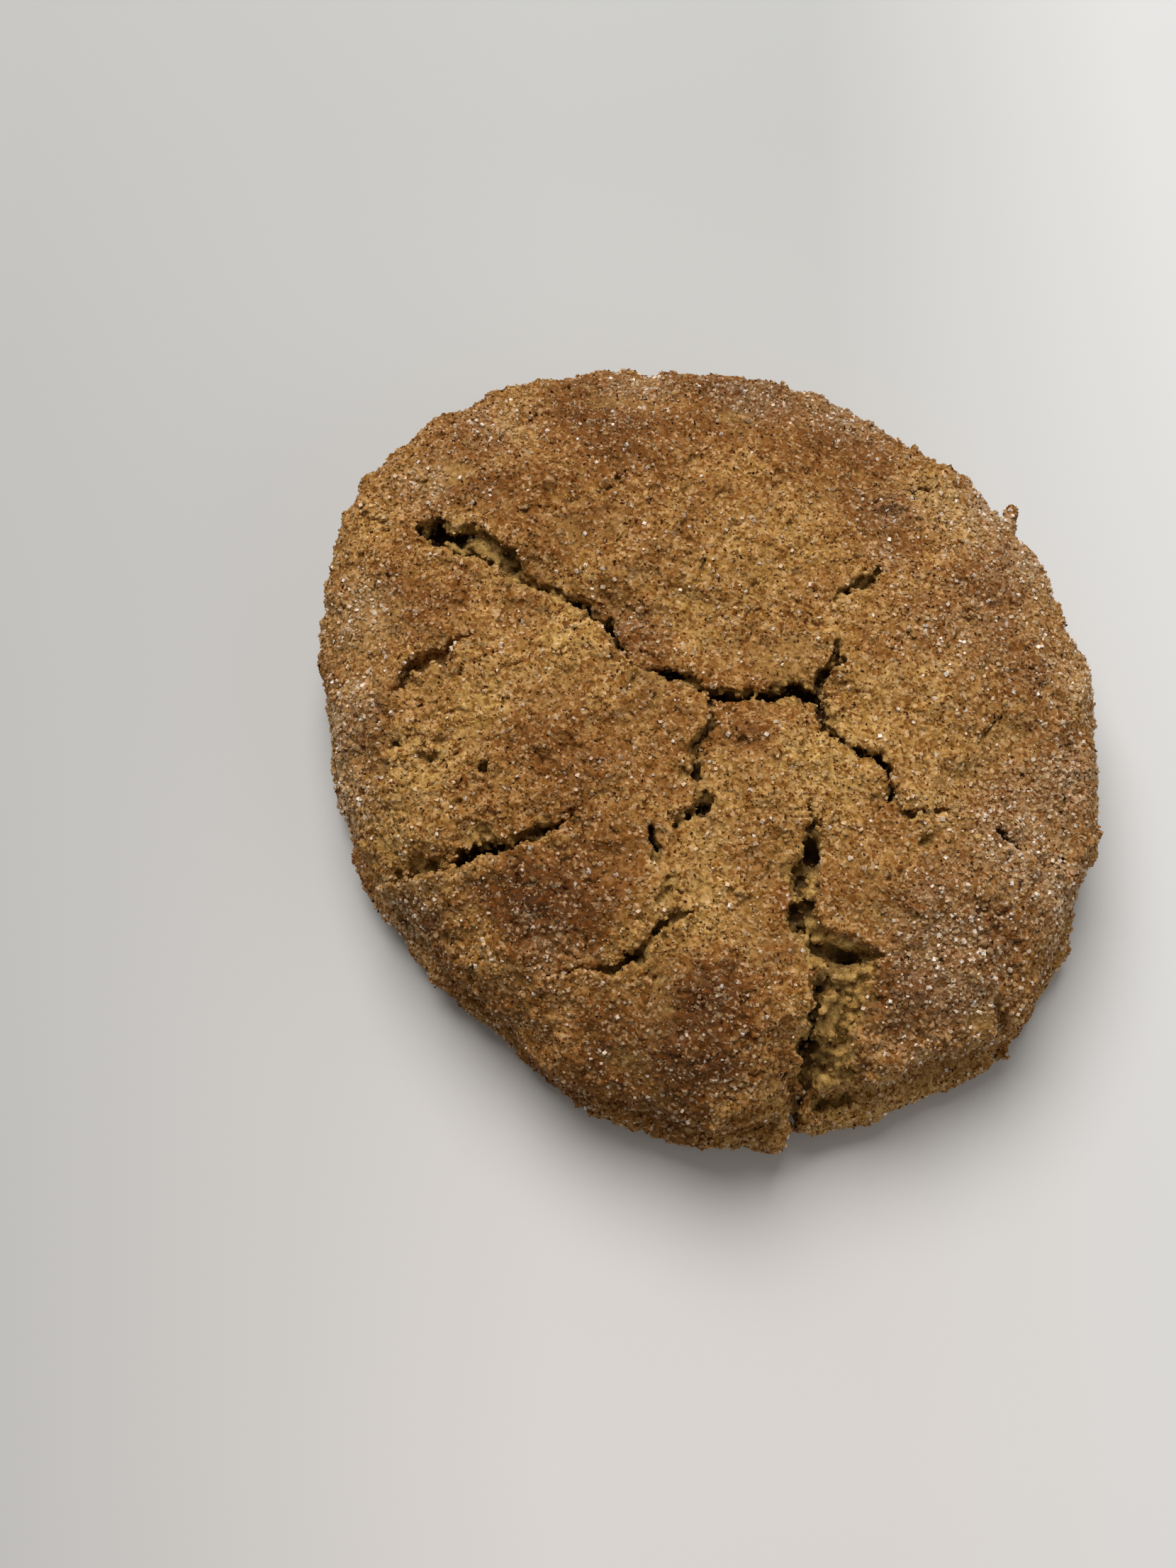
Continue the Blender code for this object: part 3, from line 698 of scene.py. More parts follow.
def wrinkleSkin(draw, field, step, heights, allowed):
    # short wrinkles in the skin: a row of small dents along a wandering line
    sort = relief["wrinkles"]
    cells = surfaceCells(field, step, allowed)
    starts = cells[draw.permutation(len(cells))[:sort["count"]]]
    starts = starts[heights[starts[:, 2]] > sort["lowest"]]
    heading = draw.uniform(0.0, math.tau, len(starts))
    length = draw.uniform(*sort["length"], len(starts))
    place = starts.astype(float)
    low, high = sort["edge"], np.array(field.shape) - sort["edge"] - 1
    for walk in range(int(sort["length"][1] / step)):
        alive = walk * step < length
        heading += draw.uniform(-sort["turn"], sort["turn"], len(starts))
        place[:, 0] += np.cos(heading)
        place[:, 1] += np.sin(heading)
        place[:, :2] = np.clip(place[:, :2], low, high[:2])
        cell = np.round(place).astype(int)
        value = field[cell[:, 0], cell[:, 1], cell[:, 2]]
        place -= gradientAt(field, *cell.T) * (value / step)[:, None]
        place[:, 2] = np.clip(place[:, 2], low, high[2])
        cell = np.round(place).astype(int)
        stampBalls(field, step, cell[alive], place[alive], np.full(alive.sum(), sort["radius"]), False)


def addRimCrumbs(field, step, corner):
    turn, height, out, radii = np.array(relief["rimCrumbs"]).T
    turn = np.radians(turn)
    far = wallRadius(turn, height) + out
    centres = np.stack([far * np.cos(turn), far * np.sin(turn), height], axis=1)
    centres[:, :2] -= form["centring"]
    centres = centres / step - corner
    stampBalls(field, step, np.round(centres).astype(int), centres, radii, True)


def shapeCookie():
    draw = np.random.default_rng(relief["seed"])
    step = relief["step"]
    field, corner, axes = solidField(step)
    x, y, z = axes
    shape = field.shape
    print("form on a grid of", shape)

    def unevenness(sorts, over=shape):
        # one after another, so that each is drawn when it is needed
        return (high * latticeNoise(draw, over, step, size) for size, high in sorts)

    flatX, flatY = np.meshgrid(x, y, indexing="ij")
    warps = [sum(unevenness(relief["warp"], shape[:2])) for _ in range(2)]
    bent = (flatX + warps[0], flatY + warps[1])
    top = topOver(field, step, flatX, flatY, z)
    lift, nearness, shade = liftPlates(*bent)
    top = top + lift
    lowest, climb = relief["liftFrom"]
    wallward = ease((z[None, None, :] - lowest) / climb)
    offTable = relief["shrink"] * ease(z / relief["tableReach"])[None, None, :]
    field += (offTable - lift[:, :, None] * wallward).astype(np.float32)
    skin = field.copy()

    rough = sum(unevenness(relief["walls"]))
    for name, split in splits.items():
        for cut in (field, skin) if name in creases else (field,):
            cutSplit(cut, axes, top, bent, split, rough)
    for flake in flakes:
        cutFlake(field, axes, top, bent, flake)
    print("splits cut")

    # the crust's and the torn crumb's unevenness
    torn = ease((-skin - relief["skinDepth"] * 0.5) / relief["skinDepth"]).astype(np.float32)
    lowest, climb = relief["unevenFrom"]
    above = ease((z - lowest) / climb).astype(np.float32)[None, None, :]
    for waves in unevenness(relief["skin"]):
        field -= waves * (1.0 - torn) * above
    wide = (shade < relief["wideShade"]).astype(np.float32)[:, :, None]
    for waves in unevenness(relief["flakeRidges"]):
        field -= waves * torn * above * wide
    growTeeth(draw, field, step, axes, torn > relief["teeth"]["torn"])
    stampSort(draw, field, step, z, torn > relief["pores"]["torn"], relief["pores"], False)
    stampSort(draw, field, step, z, torn > relief["lumps"]["torn"], relief["lumps"], True)
    for waves in unevenness(relief["crumb"]):
        field -= waves * torn * above
    wrinkleSkin(draw, field, step, z, torn < relief["wrinkles"]["torn"])
    addRimCrumbs(field, step, corner)
    stampSort(draw, field, step, z, torn < relief["grains"]["torn"], relief["grains"], True)

    line = relief["hairlines"]
    wander = sum(unevenness(((line["size"], 1.0), (line["jag"], line["jagged"]))))
    sharp, more = line["edges"]
    here = ease(latticeNoise(draw, shape, step, line["patches"]) * sharp + more)
    crease = np.clip(1.0 - np.abs(wander) / line["width"], 0.0, 1.0) ** 2
    field += (line["depth"] * crease * here * (1.0 - torn) * above).astype(np.float32)
    field = np.maximum(field, -z[None, None, :].astype(np.float32))
    print("relief added")
    return field, skin, nearness, shade, corner, step


def largestBody(points, quads):
    # labels spread along the edges until each separate body has one
    label = np.arange(len(points))
    ends = np.concatenate([quads[:, [0, 1]], quads[:, [1, 2]], quads[:, [2, 3]], quads[:, [3, 0]]])
    while True:
        lowest = np.minimum(label[ends[:, 0]], label[ends[:, 1]])
        spread = label.copy()
        np.minimum.at(spread, ends[:, 0], lowest)
        np.minimum.at(spread, ends[:, 1], lowest)
        spread = spread[spread]
        if np.array_equal(spread, label):
            break
        label = spread
    names, counts = np.unique(label, return_counts=True)
    keep = label == names[counts.argmax()]
    renumber = np.cumsum(keep) - 1
    return points[keep], renumber[quads[keep[quads[:, 0]]]]


def sampleField(field, corner, step, points):
    place = points / step - corner
    first = np.clip(np.floor(place).astype(int), 0, np.array(field.shape) - 2)
    t = place - first
    total = np.zeros(len(points))
    for i in (0, 1):
        for j in (0, 1):
            for k in (0, 1):
                weight = 1.0
                for axis, bit in enumerate((i, j, k)):
                    weight = weight * (t[:, axis] if bit else 1 - t[:, axis])
                total += weight * field[first[:, 0] + i, first[:, 1] + j, first[:, 2] + k]
    return total


def meshObject(name, points, faces, smooth=True):
    mesh = bpy.data.meshes.new(name)
    mesh.vertices.add(len(points))
    mesh.vertices.foreach_set("co", (points * mm).astype(np.float32).reshape(-1))
    corners = faces.shape[1]
    mesh.loops.add(len(faces) * corners)
    mesh.loops.foreach_set("vertex_index", faces.astype(np.int32).reshape(-1))
    mesh.polygons.add(len(faces))
    mesh.polygons.foreach_set("loop_start", np.arange(0, len(faces) * corners, corners, dtype=np.int32))
    mesh.update(calc_edges=True)
    mesh.validate()
    mesh.polygons.foreach_set("use_smooth", np.full(len(mesh.polygons), smooth))
    made = bpy.data.objects.new(name, mesh)
    bpy.context.scene.collection.objects.link(made)
    return made


def addAttribute(obj, name, values):
    attribute = obj.data.attributes.new(name, "FLOAT", "POINT")
    attribute.data.foreach_set("value", np.asarray(values, np.float32))


field, skin, nearness, shade, corner, step = shapeCookie()
grid = openvdb.FloatGrid(relief["reach"])
grid.copyFromArray(field, ijk=tuple(int(c) for c in corner))
grid.transform = openvdb.createLinearTransform(step)
points, quads = grid.convertToQuads(0.0)
points, quads = largestBody(points.astype(float), quads.astype(np.int64))
a, b, c, d = (points[quads[:, n]] for n in range(4))
if np.einsum("ij,ij->i", a, np.cross(b, c)).sum() < 0:
    quads = quads[:, ::-1]
below = -sampleField(skin, corner, step, points)
cell = np.clip(np.round(points / step - corner).astype(int), 1, np.array(field.shape) - 2)
jitterDraw = np.random.default_rng(relief["jitterSeed"])
stray = jitterDraw.uniform(-relief["jitter"], relief["jitter"], (len(points), 1))
points += gradientAt(field, *cell.T) * stray * (points[:, 2:] > relief["plainBelow"])
cookie = meshObject("cookie_crust", points, quads)
addAttribute(cookie, "below", below)
# painted shade for the splits' crumb: depth under the skin times the split's shade
addAttribute(cookie, "deep", below * shade[cell[:, 0], cell[:, 1]])
print("cookie has", len(quads), "faces")

# Where the coat is thick with cinnamon, where bare golden dough shows, and where sugar gathered:
# x, y, spread, amount. A few cinnamon spots also paint shade and a few golden ones paint light,
# as marked.
coat = {
    "cinnamon": (
        (-19.4, -25.4, 4.6, 0.6), (-36.4, 11.9, 5.5, 0.3), (4.5, -5.5, 2.0, 0.9),
        (-8.6, 8.0, 3.9, 0.25), (-13.3, 44.5, 8.3, 0.7), (5.5, 44.8, 8.3, 0.7), (19.5, 41.1, 5.5, 0.5),
        (-10.6, 33.8, 4.1, 0.6), (-21.2, -40.8, 5.5, 0.5), (-9.3, -44.9, 7.3, 0.35),
        (3.2, -47.1, 4.6, 0.1), (23.4, -35.2, 5.5, 0.5), (34.8, 16.8, 6.4, 0.35),
        (-38.8, 0.1, 3.2, 0.2), (13.2, -31.5, 2.8, 0.6), (19.2, -46.4, 5.5, 0.2),
        (-31.8, -33.4, 4.6, 0.5), (27.5, -41.0, 4.6, 0.2), (38.3, 3.4, 5.5, 0.25),
        (-0.3, -36.0, 3.7, 0.6), (-27.8, 29.0, 4.6, 0.5), (24.2, -23.3, 3.7, 0.5),
        # the spots from (-15.0, 12.8) to (-1.5, 4.6) are partly cinnamon and partly painted shade in the
        # upper plate's dip beside the ledge
        (-10.9, -7.1, 4.6, 0.15), (-15.0, 12.8, 2.6, 0.3), (-11.2, 9.4, 3.0, 0.3),
        (-7.0, 6.6, 3.4, 0.25), (-1.5, 4.6, 3.4, 0.3), (-15.0, -27.5, 4.5, 0.35),
        # (-3.0, -42.0) and (-13.0, -41.0) darken the low front plates: partly cinnamon, partly painted shade
        (-24.5, -24.5, 4.0, 0.6), (22.5, 23.5, 5.0, 0.35), (-3.0, -42.0, 7.5, 0.95),
        (-13.0, -41.0, 6.0, 0.3), (-21.5, -26.5, 5.5, 0.75), (-12.0, -24.0, 4.0, 0.4),
        (26.0, -33.0, 8.0, 0.2), (31.5, -27.0, 6.0, 0.2), (-1.0, -34.0, 4.0, 0.3),
        (22.5, 28.0, 6.0, 0.3), (44.0, -6.0, 6.0, 0.25), (-23.0, -21.5, 4.0, 0.4),
    ),
    "golden": (
        (-36.0, -7.7, 2.9, 1.0), (-29.9, -1.8, 3.7, 0.6), (-17.8, 7.4, 4.1, 0.8),
        (10.3, -8.2, 5.0, 0.9), (15.3, -13.0, 4.1, 0.7), (-0.2, -25.2, 4.6, 0.6),
        (-26.4, 0.6, 3.7, 0.5), (-3.7, 10.5, 5.0, 0.6), (19.3, -20.7, 4.1, 0.5),
        (-28.2, -30.2, 3.7, 0.8), (-12.7, -30.0, 4.1, 0.6), (-31.0, -36.0, 4.0, 0.5),
        (-32.3, 24.4, 3.7, 0.6), (8.9, 22.5, 7.3, 0.5), (23.6, 2.0, 5.5, 0.4), (16.0, -3.0, 5.0, 0.6),
        (-37.0, -6.0, 6.0, 0.35), (-30.0, 4.0, 5.0, 0.3), (-1.6, -14.0, 2.8, 0.6),
        (-38.7, -15.4, 3.7, 0.6), (18.2, -5.0, 3.7, 0.4), (26.3, -15.4, 3.7, 0.5),
        # (-17.5, 11.0), (-14.0, 7.5) and (-10.8, 3.6) lighten the left plate's edge along the ledge: partly
        # golden dough, partly painted light
        (-17.5, 11.0, 1.7, 0.6), (-14.0, 7.5, 1.7, 0.6), (-10.8, 3.6, 1.6, 0.6),
        (28.0, -27.0, 4.0, 0.4), (20.0, -47.5, 6.0, 0.9), (28.0, -44.0, 5.0, 0.6),
        (28.4, 29.6, 4.0, 0.9), (33.0, 25.0, 4.0, 0.5), (-20.5, -37.5, 5.0, 0.5),
        # (3.3, -50.5) and (-10.0, -49.0) are painted light on the lower front rim, standing for light thrown
        # up from the table
        (3.3, -50.5, 5.0, 0.7), (-10.0, -49.0, 6.0, 0.6), (46.5, 4.0, 5.0, 0.6), (36.9, -2.3, 4.0, 0.5),
        (-37.9, -3.6, 3.0, 0.5),
    ),
    "sugar": (
        (44.3, -8.4, 4.6, 0.8), (40.9, -21.6, 5.5, 1.0), (23.2, 27.6, 2.6, 0.6), (22.5, 19.9, 2.0, 0.8),
        (37.7, 30.4, 3.7, 1.0), (41.6, 21.0, 3.7, 0.8), (-44.4, 14.1, 4.2, 1.0), (-45.4, 1.4, 4.2, 1.0),
        (-46.0, -8.0, 4.2, 0.8), (-41.8, -23.5, 3.2, 0.5), (30.6, -34.7, 5.5, 0.7),
        (26.7, -27.3, 5.5, 0.6), (19.7, 42.7, 4.6, 0.6), (6.4, 44.9, 4.6, 0.4), (-27.2, 39.7, 4.6, 0.6),
        (-36.2, 31.4, 4.1, 0.6), (35.3, -16.4, 5.5, 0.6), (-8.6, 46.8, 4.6, 0.7), (46.2, 4.9, 5.0, 0.7),
        (-2.8, -42.1, 4.5, 0.1), (21.9, -41.4, 4.6, 0.4), (-10.0, 10.0, 3.5, 0.3),
        (-20.0, -31.0, 4.0, 0.3), (28.4, 29.8, 4.0, 0.4), (33.5, 26.0, 4.0, 0.6), (32.0, 9.0, 8.0, 0.4),
        (38.0, -10.0, 7.0, 0.3), (30.0, -15.0, 6.0, 0.15), (38.0, 18.0, 6.0, 0.3),
        (12.0, 47.0, 6.0, 0.4), (-36.0, -24.0, 4.0, 0.4), (1.0, -46.0, 4.0, 0.1),
        (24.0, -31.0, 5.0, 0.3),
    ),
}


def coatAmount(kind, places):
    total = np.zeros(len(places))
    for x, y, spread, amount in coat[kind]:
        total += amount * bell(np.hypot(
            places[:, 0] + form["centring"][0] - x, places[:, 1] + form["centring"][1] - y
        ) / spread)
    return total


for kind in coat:
    addAttribute(cookie, kind, coatAmount(kind, points))

# Loose things on the crust, each kind one mesh of many small pieces: how many, the least and
# largest size, how flat, and how far out the middle is in sizes. sugared, rims and crumb say how
# many lie on sugared places, on the rims of the splits and on torn crumb, against plain crust.
# jag is how uneven each is, and round 0 is a box, 1 a smooth lump and 2 a rough one.
scatter = {
    "sugar_crystals": dict(
        count=16000, size=(0.26, 0.54), flat=0.85, out=-0.02, sugared=5.5, rims=-0.3, crumb=0.1, jag=0.2,
        round=0, seed=21,
    ),
    "cinnamon_sugar": dict(
        count=9500, size=(0.26, 0.50), flat=0.8, out=-0.02, sugared=0.5, rims=-0.3, crumb=0.2, jag=0.28,
        round=1, seed=22,
    ),
    "cinnamon_dust": dict(
        count=9000, size=(0.20, 0.36), flat=0.7, out=0.0, sugared=0.2, rims=-0.2, crumb=0.2, jag=0.28,
        round=0, seed=25,
    ),
    "spice_specks": dict(
        count=4600, size=(0.18, 0.50), flat=0.4, out=0.0, sugared=0.0, rims=0.0, crumb=0.3, jag=0.25,
        round=0, seed=23,
    ),
    "loose_crumbs": dict(
        count=1000, size=(0.35, 1.05), flat=0.7, out=-0.05, sugared=0.0, rims=6.0, crumb=1.5, jag=0.4,
        round=2, seed=24,
    ),
}


stretch = (0.75, 1.15)  # of each piece, along each of its axes


def turnedAtRandom(draw, count):
    # one random rotation matrix for each piece
    q = draw.normal(size=(count, 4))
    q /= np.linalg.norm(q, axis=1, keepdims=True)
    w, x, y, z = q.T
    return np.stack([
        1 - 2 * (y * y + z * z), 2 * (x * y - z * w), 2 * (x * z + y * w),
        2 * (x * y + z * w), 1 - 2 * (x * x + z * z), 2 * (y * z - x * w),
        2 * (x * z - y * w), 2 * (y * z + x * w), 1 - 2 * (x * x + y * y),
    ], axis=-1).reshape(-1, 3, 3)


def placesOnCrust(draw, count, sort):
    corners = points[quads]
    across = np.cross(corners[:, 2] - corners[:, 0], corners[:, 3] - corners[:, 1])
    area = np.linalg.norm(across, axis=1) / 2
    middle = corners.mean(1)
    weight = area * (middle[:, 2] > relief["plainBelow"])
    weight *= np.where(below[quads[:, 0]] > relief["skinDepth"], sort["crumb"], 1.0)
    weight *= 1.0 + sort["sugared"] * coatAmount("sugar", middle)
    cell = np.clip(np.round(middle[:, :2] / step - corner[:2]).astype(int), 0, np.array(nearness.shape) - 1)
    weight *= 1.0 + sort["rims"] * nearness[cell[:, 0], cell[:, 1]]
    chosen = draw.choice(len(quads), count, p=weight / weight.sum())
    u, v = draw.uniform(size=(2, count, 1))
    four = corners[chosen]
    spot = four[:, 0] + (four[:, 1] - four[:, 0]) * u + (four[:, 3] - four[:, 0]) * v
    cell = np.clip(np.round(spot / step - corner).astype(int), 1, np.array(field.shape) - 2)
    return spot, gradientAt(field, *cell.T)


boxPoints = np.array([(i, j, k) for i in (-1, 1) for j in (-1, 1) for k in (-1, 1)]) / 2
boxFaces = np.array([(0, 1, 3, 2), (4, 6, 7, 5), (0, 4, 5, 1), (2, 3, 7, 6), (0, 2, 6, 4), (1, 5, 7, 3)])


def roundLump(rounding):
    # points and faces of a ball one across, to be made uneven
    ball = bmesh.new()
    bmesh.ops.create_icosphere(ball, subdivisions=rounding, radius=0.5)
    whole = np.array([v.co for v in ball.verts])
    sides = np.array([[v.index for v in face.verts] for face in ball.faces])
    ball.free()
    return whole, sides


def scatterGrains(name, sort):
    draw = np.random.default_rng(sort["seed"])
    count = sort["count"]
    spot, outward = placesOnCrust(draw, count, sort)
    size = draw.uniform(*sort["size"], (count, 1))
    whole, sides = roundLump(sort["round"]) if sort["round"] else (boxPoints, boxFaces)
    shape = whole[None] * (1.0 + draw.uniform(-sort["jag"], sort["jag"], (count, len(whole), 3)))
    lengths = size * draw.uniform(*stretch, (count, 3)) * (1.0, sort["flat"], sort["flat"])
    shape = np.einsum("nij,nkj->nki", turnedAtRandom(draw, count), shape * lengths[:, None, :])
    shape += (spot + outward * size * sort["out"])[:, None, :]
    faces = (np.arange(count)[:, None, None] * len(whole) + sides[None]).reshape(-1, sides.shape[1])
    made = meshObject(name, shape.reshape(-1, 3), faces, smooth=sort["round"] == 1)
    addAttribute(made, "tint", np.repeat(draw.uniform(size=count), len(whole)))
    for kind in coat:
        addAttribute(made, kind, np.repeat(coatAmount(kind, spot), len(whole)))
    return made


grains = {name: scatterGrains(name, sort) for name, sort in scatter.items()}
print("grains scattered")


# Baked sugar-cookie dough, rolled in cinnamon sugar: matte and granular, golden tan where the
# dough shows, cinnamon brown where the coat is thick, greyish where the sugar is.
crust = {
    # from bare golden dough to thick cinnamon, and how far each coat moves the tone along these
    "coatStops": (
        (0.32, "#b4904f"), (0.46, "#a27a40"), (0.58, "#875d2b"), (0.72, "#6b451d"), (0.95, "#4a2b0e"),
    ),
    "shifts": {"cinnamon": 0.32, "golden": -0.22},
    "patchSize": 11.0,  # of the cinnamon and golden patches
    "patchDepth": 0.75,
    "sugary": "#b69a78",
    "sugarShare": 0.35,
    # lighter and darker spots a millimetre or so across
    "speckleSize": 1.3,
    "speckleEdges": (0.30, 0.68),
    "speckleTones": ((0.60, 0.45, 0.17, 1.0), (1.24, 1.30, 1.56, 1.0)),
    # one sugar grain in the coat, the lightness of each, and which are fleck or pale, and how much
    "grainSize": 0.40,
    "grainTones": ((0.70, 0.64, 0.40, 1.0), (1.24, 1.32, 1.66, 1.0)),
    "fleck": "#6c3d0d",
    "fleckShares": (0.58, 0.84, 0.0, 0.85),
    "pale": "#c6a87c",
    "paleShares": (0.25, 0.08, 0.0, 0.5),
    "wobbleSize": 0.8,
    "wobble": 0.7,  # how far it moves the grains and specks, so that they aren't round
    # specks of ground spice: how far apart, and their edge in shares of that
    "speck": "#421f08",
    "speckGap": 1.0,
    "speckEdges": (0.13, 0.19),
    # torn crumb, how far under the skin it begins, and how far under it painted shade darkens it
    "poreSize": 0.8,
    "crumbStops": ((0.32, "#573d1a"), (0.48, "#99773f"), (0.68, "#ba9c5c")),
    "crumbFrom": (0.35, 1.0),
    "crumbPaintedShade": "#38230d",
    "deepFrom": (1.2, 3.4),
    "underside": "#8a5a2a",
    "undersideUpTo": (0.2, 1.2),
    "bumpSize": 0.45,
    "bumpHeight": 0.3,
    "bumpStrength": 0.55,
    "roughness": 0.82,
    "shine": 0.18,
}


def newMaterial(name):
    material = bpy.data.materials.new(name)
    material.use_nodes = True
    tree = material.node_tree
    return material, tree, tree.nodes["Principled BSDF"]


def ramp(tree, stops, share):
    return addNode(tree, "ShaderNodeValToRGB", {"stops": stops, "Fac": share}).outputs["Color"]


def coatTone(tree, place):
    # the coat's broad patches, the same on the crust and on the grains that lie on it
    patch = mottle(tree, place, crust["patchSize"], Detail=5.0, Roughness=0.66, Distortion=0.5)
    share = multiplyAdd(tree, patch.outputs["Fac"], crust["patchDepth"], 0.5 - crust["patchDepth"] / 2)
    for kind, shift in crust["shifts"].items():
        share = multiplyAdd(tree, readAttribute(tree, kind), shift, share)
    sugared = multiplyAdd(tree, readAttribute(tree, "sugar"), crust["sugarShare"], 0.0, clamped=True)
    return mixTones(tree, sugared, ramp(tree, crust["coatStops"], share), crust["sugary"])


def crustMaterial():
    material, tree, shader = newMaterial("baked_cinnamon_sugar_crust")
    place = addNode(tree, "ShaderNodeTexCoord", {}).outputs["Object"]
    speckle = mottle(tree, place, crust["speckleSize"], Detail=3.0, Roughness=0.7).outputs["Fac"]
    speckle = mixTones(tree, mapRange(tree, speckle, *crust["speckleEdges"]), *crust["speckleTones"])
    tone = mixTones(tree, 1.0, coatTone(tree, place), speckle, "MULTIPLY")

    # cinnamon and pale dough in flecks the size of a sugar grain, each with its own lightness
    wobble = mottle(tree, place, crust["wobbleSize"], Detail=2.0).outputs["Color"]
    moved = addNode(tree, "ShaderNodeVectorMath", {
        "operation": "MULTIPLY_ADD", 0: wobble, 1: (crust["wobble"] * mm,) * 3, 2: place,
    }).outputs["Vector"]
    grain = addNode(tree, "ShaderNodeTexVoronoi", {
        "feature": "SMOOTH_F1", "Scale": perMetre(crust["grainSize"]), "Smoothness": 0.3, "Vector": moved,
    }).outputs["Color"]
    drawn = addNode(tree, "ShaderNodeSeparateColor", {"Color": grain}).outputs
    tone = mixTones(tree, mapRange(tree, drawn["Red"], *crust["fleckShares"]), tone, crust["fleck"])
    tone = mixTones(tree, mapRange(tree, drawn["Red"], *crust["paleShares"]), tone, crust["pale"])
    tone = mixTones(tree, 1.0, tone, mixTones(tree, drawn["Green"], *crust["grainTones"]), "MULTIPLY")

    # ground spice: black-brown specks a quarter of a millimetre wide
    speck = addNode(tree, "ShaderNodeTexVoronoi", {"Scale": perMetre(crust["speckGap"]), "Vector": moved})
    speckShare = mapRange(tree, speck.outputs["Distance"], *crust["speckEdges"], 1.0, 0.0)
    tone = mixTones(tree, speckShare, tone, crust["speck"])

    # torn crumb in the splits: porous and yellow, with painted shade making it darker far down
    pore = mottle(tree, place, crust["poreSize"], Detail=3.0, Roughness=0.7).outputs["Fac"]
    deep = mapRange(tree, readAttribute(tree, "deep"), *crust["deepFrom"])
    crumbTone = mixTones(tree, deep, ramp(tree, crust["crumbStops"], pore), crust["crumbPaintedShade"])
    tone = mixTones(tree, mapRange(tree, readAttribute(tree, "below"), *crust["crumbFrom"]), tone, crumbTone)

    # browned flat underside
    height = addNode(tree, "ShaderNodeSeparateXYZ", {"Vector": place}).outputs["Z"]
    under = mapRange(tree, height, *(edge * mm for edge in crust["undersideUpTo"]), 1.0, 0.0)
    tone = mixTones(tree, under, tone, mixTones(tree, 1.0, crust["underside"], speckle, "MULTIPLY"))
    tree.links.new(tone, shader.inputs["Base Color"])

    fine = mottle(tree, place, crust["bumpSize"], Detail=2.0, Roughness=0.6).outputs["Fac"]
    bump = addNode(tree, "ShaderNodeBump", {
        "Strength": crust["bumpStrength"], "Distance": crust["bumpHeight"] * mm, "Height": fine,
    })
    tree.links.new(bump.outputs["Normal"], shader.inputs["Normal"])
    shader.inputs["Roughness"].default_value = crust["roughness"]
    shader.inputs["IOR"].default_value = 1.45
    shader.inputs["Specular IOR Level"].default_value = crust["shine"]
    return material


cookie.data.materials.append(crustMaterial())
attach(cookie, "root")
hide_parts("cookie")


# Granulated sugar: clear white crystals half a millimetre across, so each takes some of the
# brown below it; the cinnamon sugar's are coated. Ground spice is black-brown bark. Loose crumbs
# are baked dough, some with the coat on them. coated is how much of the coat's tone each takes.
grainLooks = {
    "sugar_crystals": dict(
        # the palest stop is white sugar made brighter still: partly its own white, partly a painted
        # highlight for glints
        coated=0.86, stops=((0.0, "#a1835a"), (0.6, "#b79c75"), (0.88, "#cdb898"), (1.0, "#f6f1ea")),
        roughness=0.2, shine=0.5,
    ),
    "cinnamon_sugar": dict(
        coated=0.8, stops=((0.0, "#6b3f16"), (0.4, "#936538"), (0.8, "#b28b60"), (1.0, "#c9b08f")),
        roughness=0.45, shine=0.4,
    ),
    "cinnamon_dust": dict(
        coated=0.7, stops=((0.0, "#5c2c06"), (0.5, "#824d1a"), (1.0, "#a97a46")), roughness=0.8, shine=0.1,
    ),
    "spice_specks": dict(
        coated=0.0, stops=((0.0, "#220c02"), (0.6, "#3f1e08"), (1.0, "#60310e")), roughness=0.7, shine=0.1,
    ),
    "loose_crumbs": dict(
        coated=0.6, stops=((0.0, "#7d5a2a"), (0.5, "#a2814a"), (1.0, "#b99a66")), roughness=0.85, shine=0.2,
    ),
}
# The palest of a kind and those on sugared places take less of the coat, and each is a little cloudy
wear = dict(tints=(0.3, 0.95), pale=0.45, sugared=-0.32, cloud=0.25, clouds=((0.3, 0.8), (0.7, 1.15)))


def grainMaterial(name, look):
    material, tree, shader = newMaterial(name)
    place = addNode(tree, "ShaderNodeTexCoord", {}).outputs["Object"]
    tint = readAttribute(tree, "tint")
    tone = ramp(tree, look["stops"], tint)
    if look["coated"]:
        coated = mapRange(tree, tint, *wear["tints"], look["coated"], look["coated"] - wear["pale"])
        coated = multiplyAdd(tree, readAttribute(tree, "sugar"), wear["sugared"], coated, clamped=True)
        tone = mixTones(tree, coated, tone, coatTone(tree, place))
    cloud = mottle(tree, place, wear["cloud"], Detail=1.0).outputs["Fac"]
    tone = mixTones(tree, 1.0, tone, ramp(tree, wear["clouds"], cloud), "MULTIPLY")
    tree.links.new(tone, shader.inputs["Base Color"])
    shader.inputs["Roughness"].default_value = look["roughness"]
    shader.inputs["Specular IOR Level"].default_value = look["shine"]
    return material


for name, piece in grains.items():
    piece.data.materials.append(grainMaterial(name + "_finish", grainLooks[name]))
    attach(piece, "root")
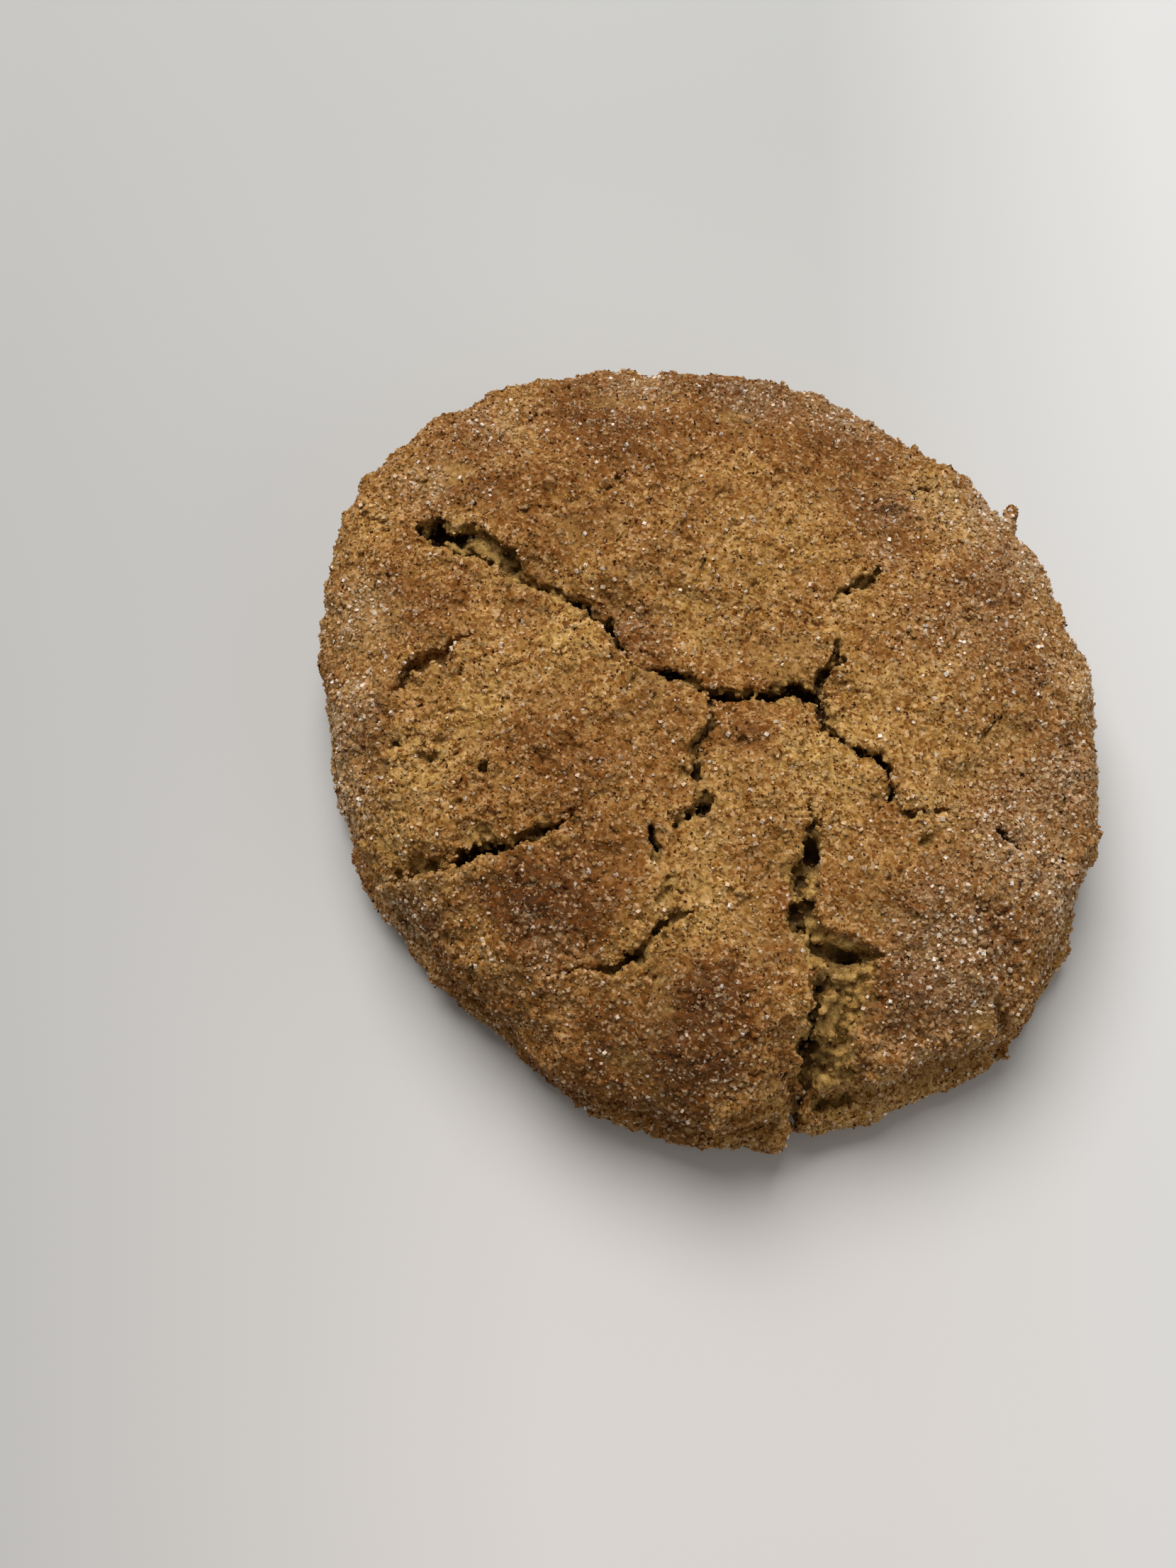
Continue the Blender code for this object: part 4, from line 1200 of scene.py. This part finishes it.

# A pale table with painted light and shade on it, a large soft light from behind and above, and a weaker one
# from all round
stage = {
    "floorNear": "#cccccd",
    # painted light and shade on the floor: darker towards the back, a painted shadow to the left, a little
    # lighter to the right; along which axis, from and to, in metres
    "floorPaintedShading": (
        ("Y", -0.09, 0.10, "#b4b8b9"), ("X", -0.02, -0.10, "#aeb1b3"), ("X", 0.02, 0.07, "#cdd1d4"),
    ),
    "floorRoughness": 0.75,
    "floorShine": 0.2,
    "floorReach": 3,
    "floorUnder": 0.00005,  # below the cookie's underside
    # name, place, width, watts and colour
    "lights": (
        ("window", (-0.20, 0.66, 1.08), 1.0, 20.5, "#fff9f4"),
        ("ceiling", (-0.15, 0.1, 1.3), 1.2, 0.5, "#ffffff"),
        ("wall_light", (0.9, -0.5, 0.5), 0.9, 2.6, "#fff8f0"),
    ),
    "aim": (0, 0, 0.01),
    "room": "#f7f0e7",
    "roomStrength": 0.22,
    "camera": (-0.01522, -0.07975, 0.23454),
    "tilt": 18.0,  # degrees from straight down
    "lens": 42.0,
    "sensor": 36.0,
    "nearest": 0.01,
}


def floorMaterial():
    material, tree, shader = newMaterial("matt_white_board")
    place = addNode(tree, "ShaderNodeTexCoord", {}).outputs["Object"]
    axes = addNode(tree, "ShaderNodeSeparateXYZ", {"Vector": place}).outputs
    tone = stage["floorNear"]
    # painted light and shade: the board's colour darkens towards the back and the left and lightens to the
    # right
    for axis, start, end, colour in stage["floorPaintedShading"]:
        tone = mixTones(tree, mapRange(tree, axes[axis], start, end), tone, colour)
    tree.links.new(tone, shader.inputs["Base Color"])
    shader.inputs["Roughness"].default_value = stage["floorRoughness"]
    shader.inputs["Specular IOR Level"].default_value = stage["floorShine"]
    return material


def addLight(name, place, width, watts, colour):
    lamp = bpy.data.lights.new(name, "AREA")
    lamp.shape = "DISK"
    lamp.size = width
    lamp.energy = watts
    lamp.color = toLinear(colour)[:3]
    made = bpy.data.objects.new(name, lamp)
    made.location = place
    made.rotation_euler = (Vector(stage["aim"]) - Vector(place)).to_track_quat("-Z", "Y").to_euler()
    bpy.context.scene.collection.objects.link(made)


far = stage["floorReach"]
floorMesh = bpy.data.meshes.new("table")
floorMesh.from_pydata([(-far, -far, 0), (far, -far, 0), (far, far, 0), (-far, far, 0)], [], [(0, 1, 2, 3)])
floor = bpy.data.objects.new("table", floorMesh)
bpy.context.scene.collection.objects.link(floor)
floor.location.z = -stage["floorUnder"]
floor.data.materials.append(floorMaterial())

for light in stage["lights"]:
    addLight(*light)

world = bpy.data.worlds.new("room")
world.use_nodes = True
background = world.node_tree.nodes["Background"]
background.inputs["Color"].default_value = toLinear(stage["room"])
background.inputs["Strength"].default_value = stage["roomStrength"]
bpy.context.scene.world = world
bpy.context.scene.view_settings.view_transform = "Standard"

view = bpy.data.cameras.new("view")
view.lens = stage["lens"]
view.sensor_width = stage["sensor"]
view.clip_start = stage["nearest"]
camera = bpy.data.objects.new("view", view)
camera.location = stage["camera"]
camera.rotation_euler = (math.radians(stage["tilt"]), 0.0, 0.0)
bpy.context.scene.collection.objects.link(camera)
bpy.context.scene.camera = camera
print("table, lights and camera placed")
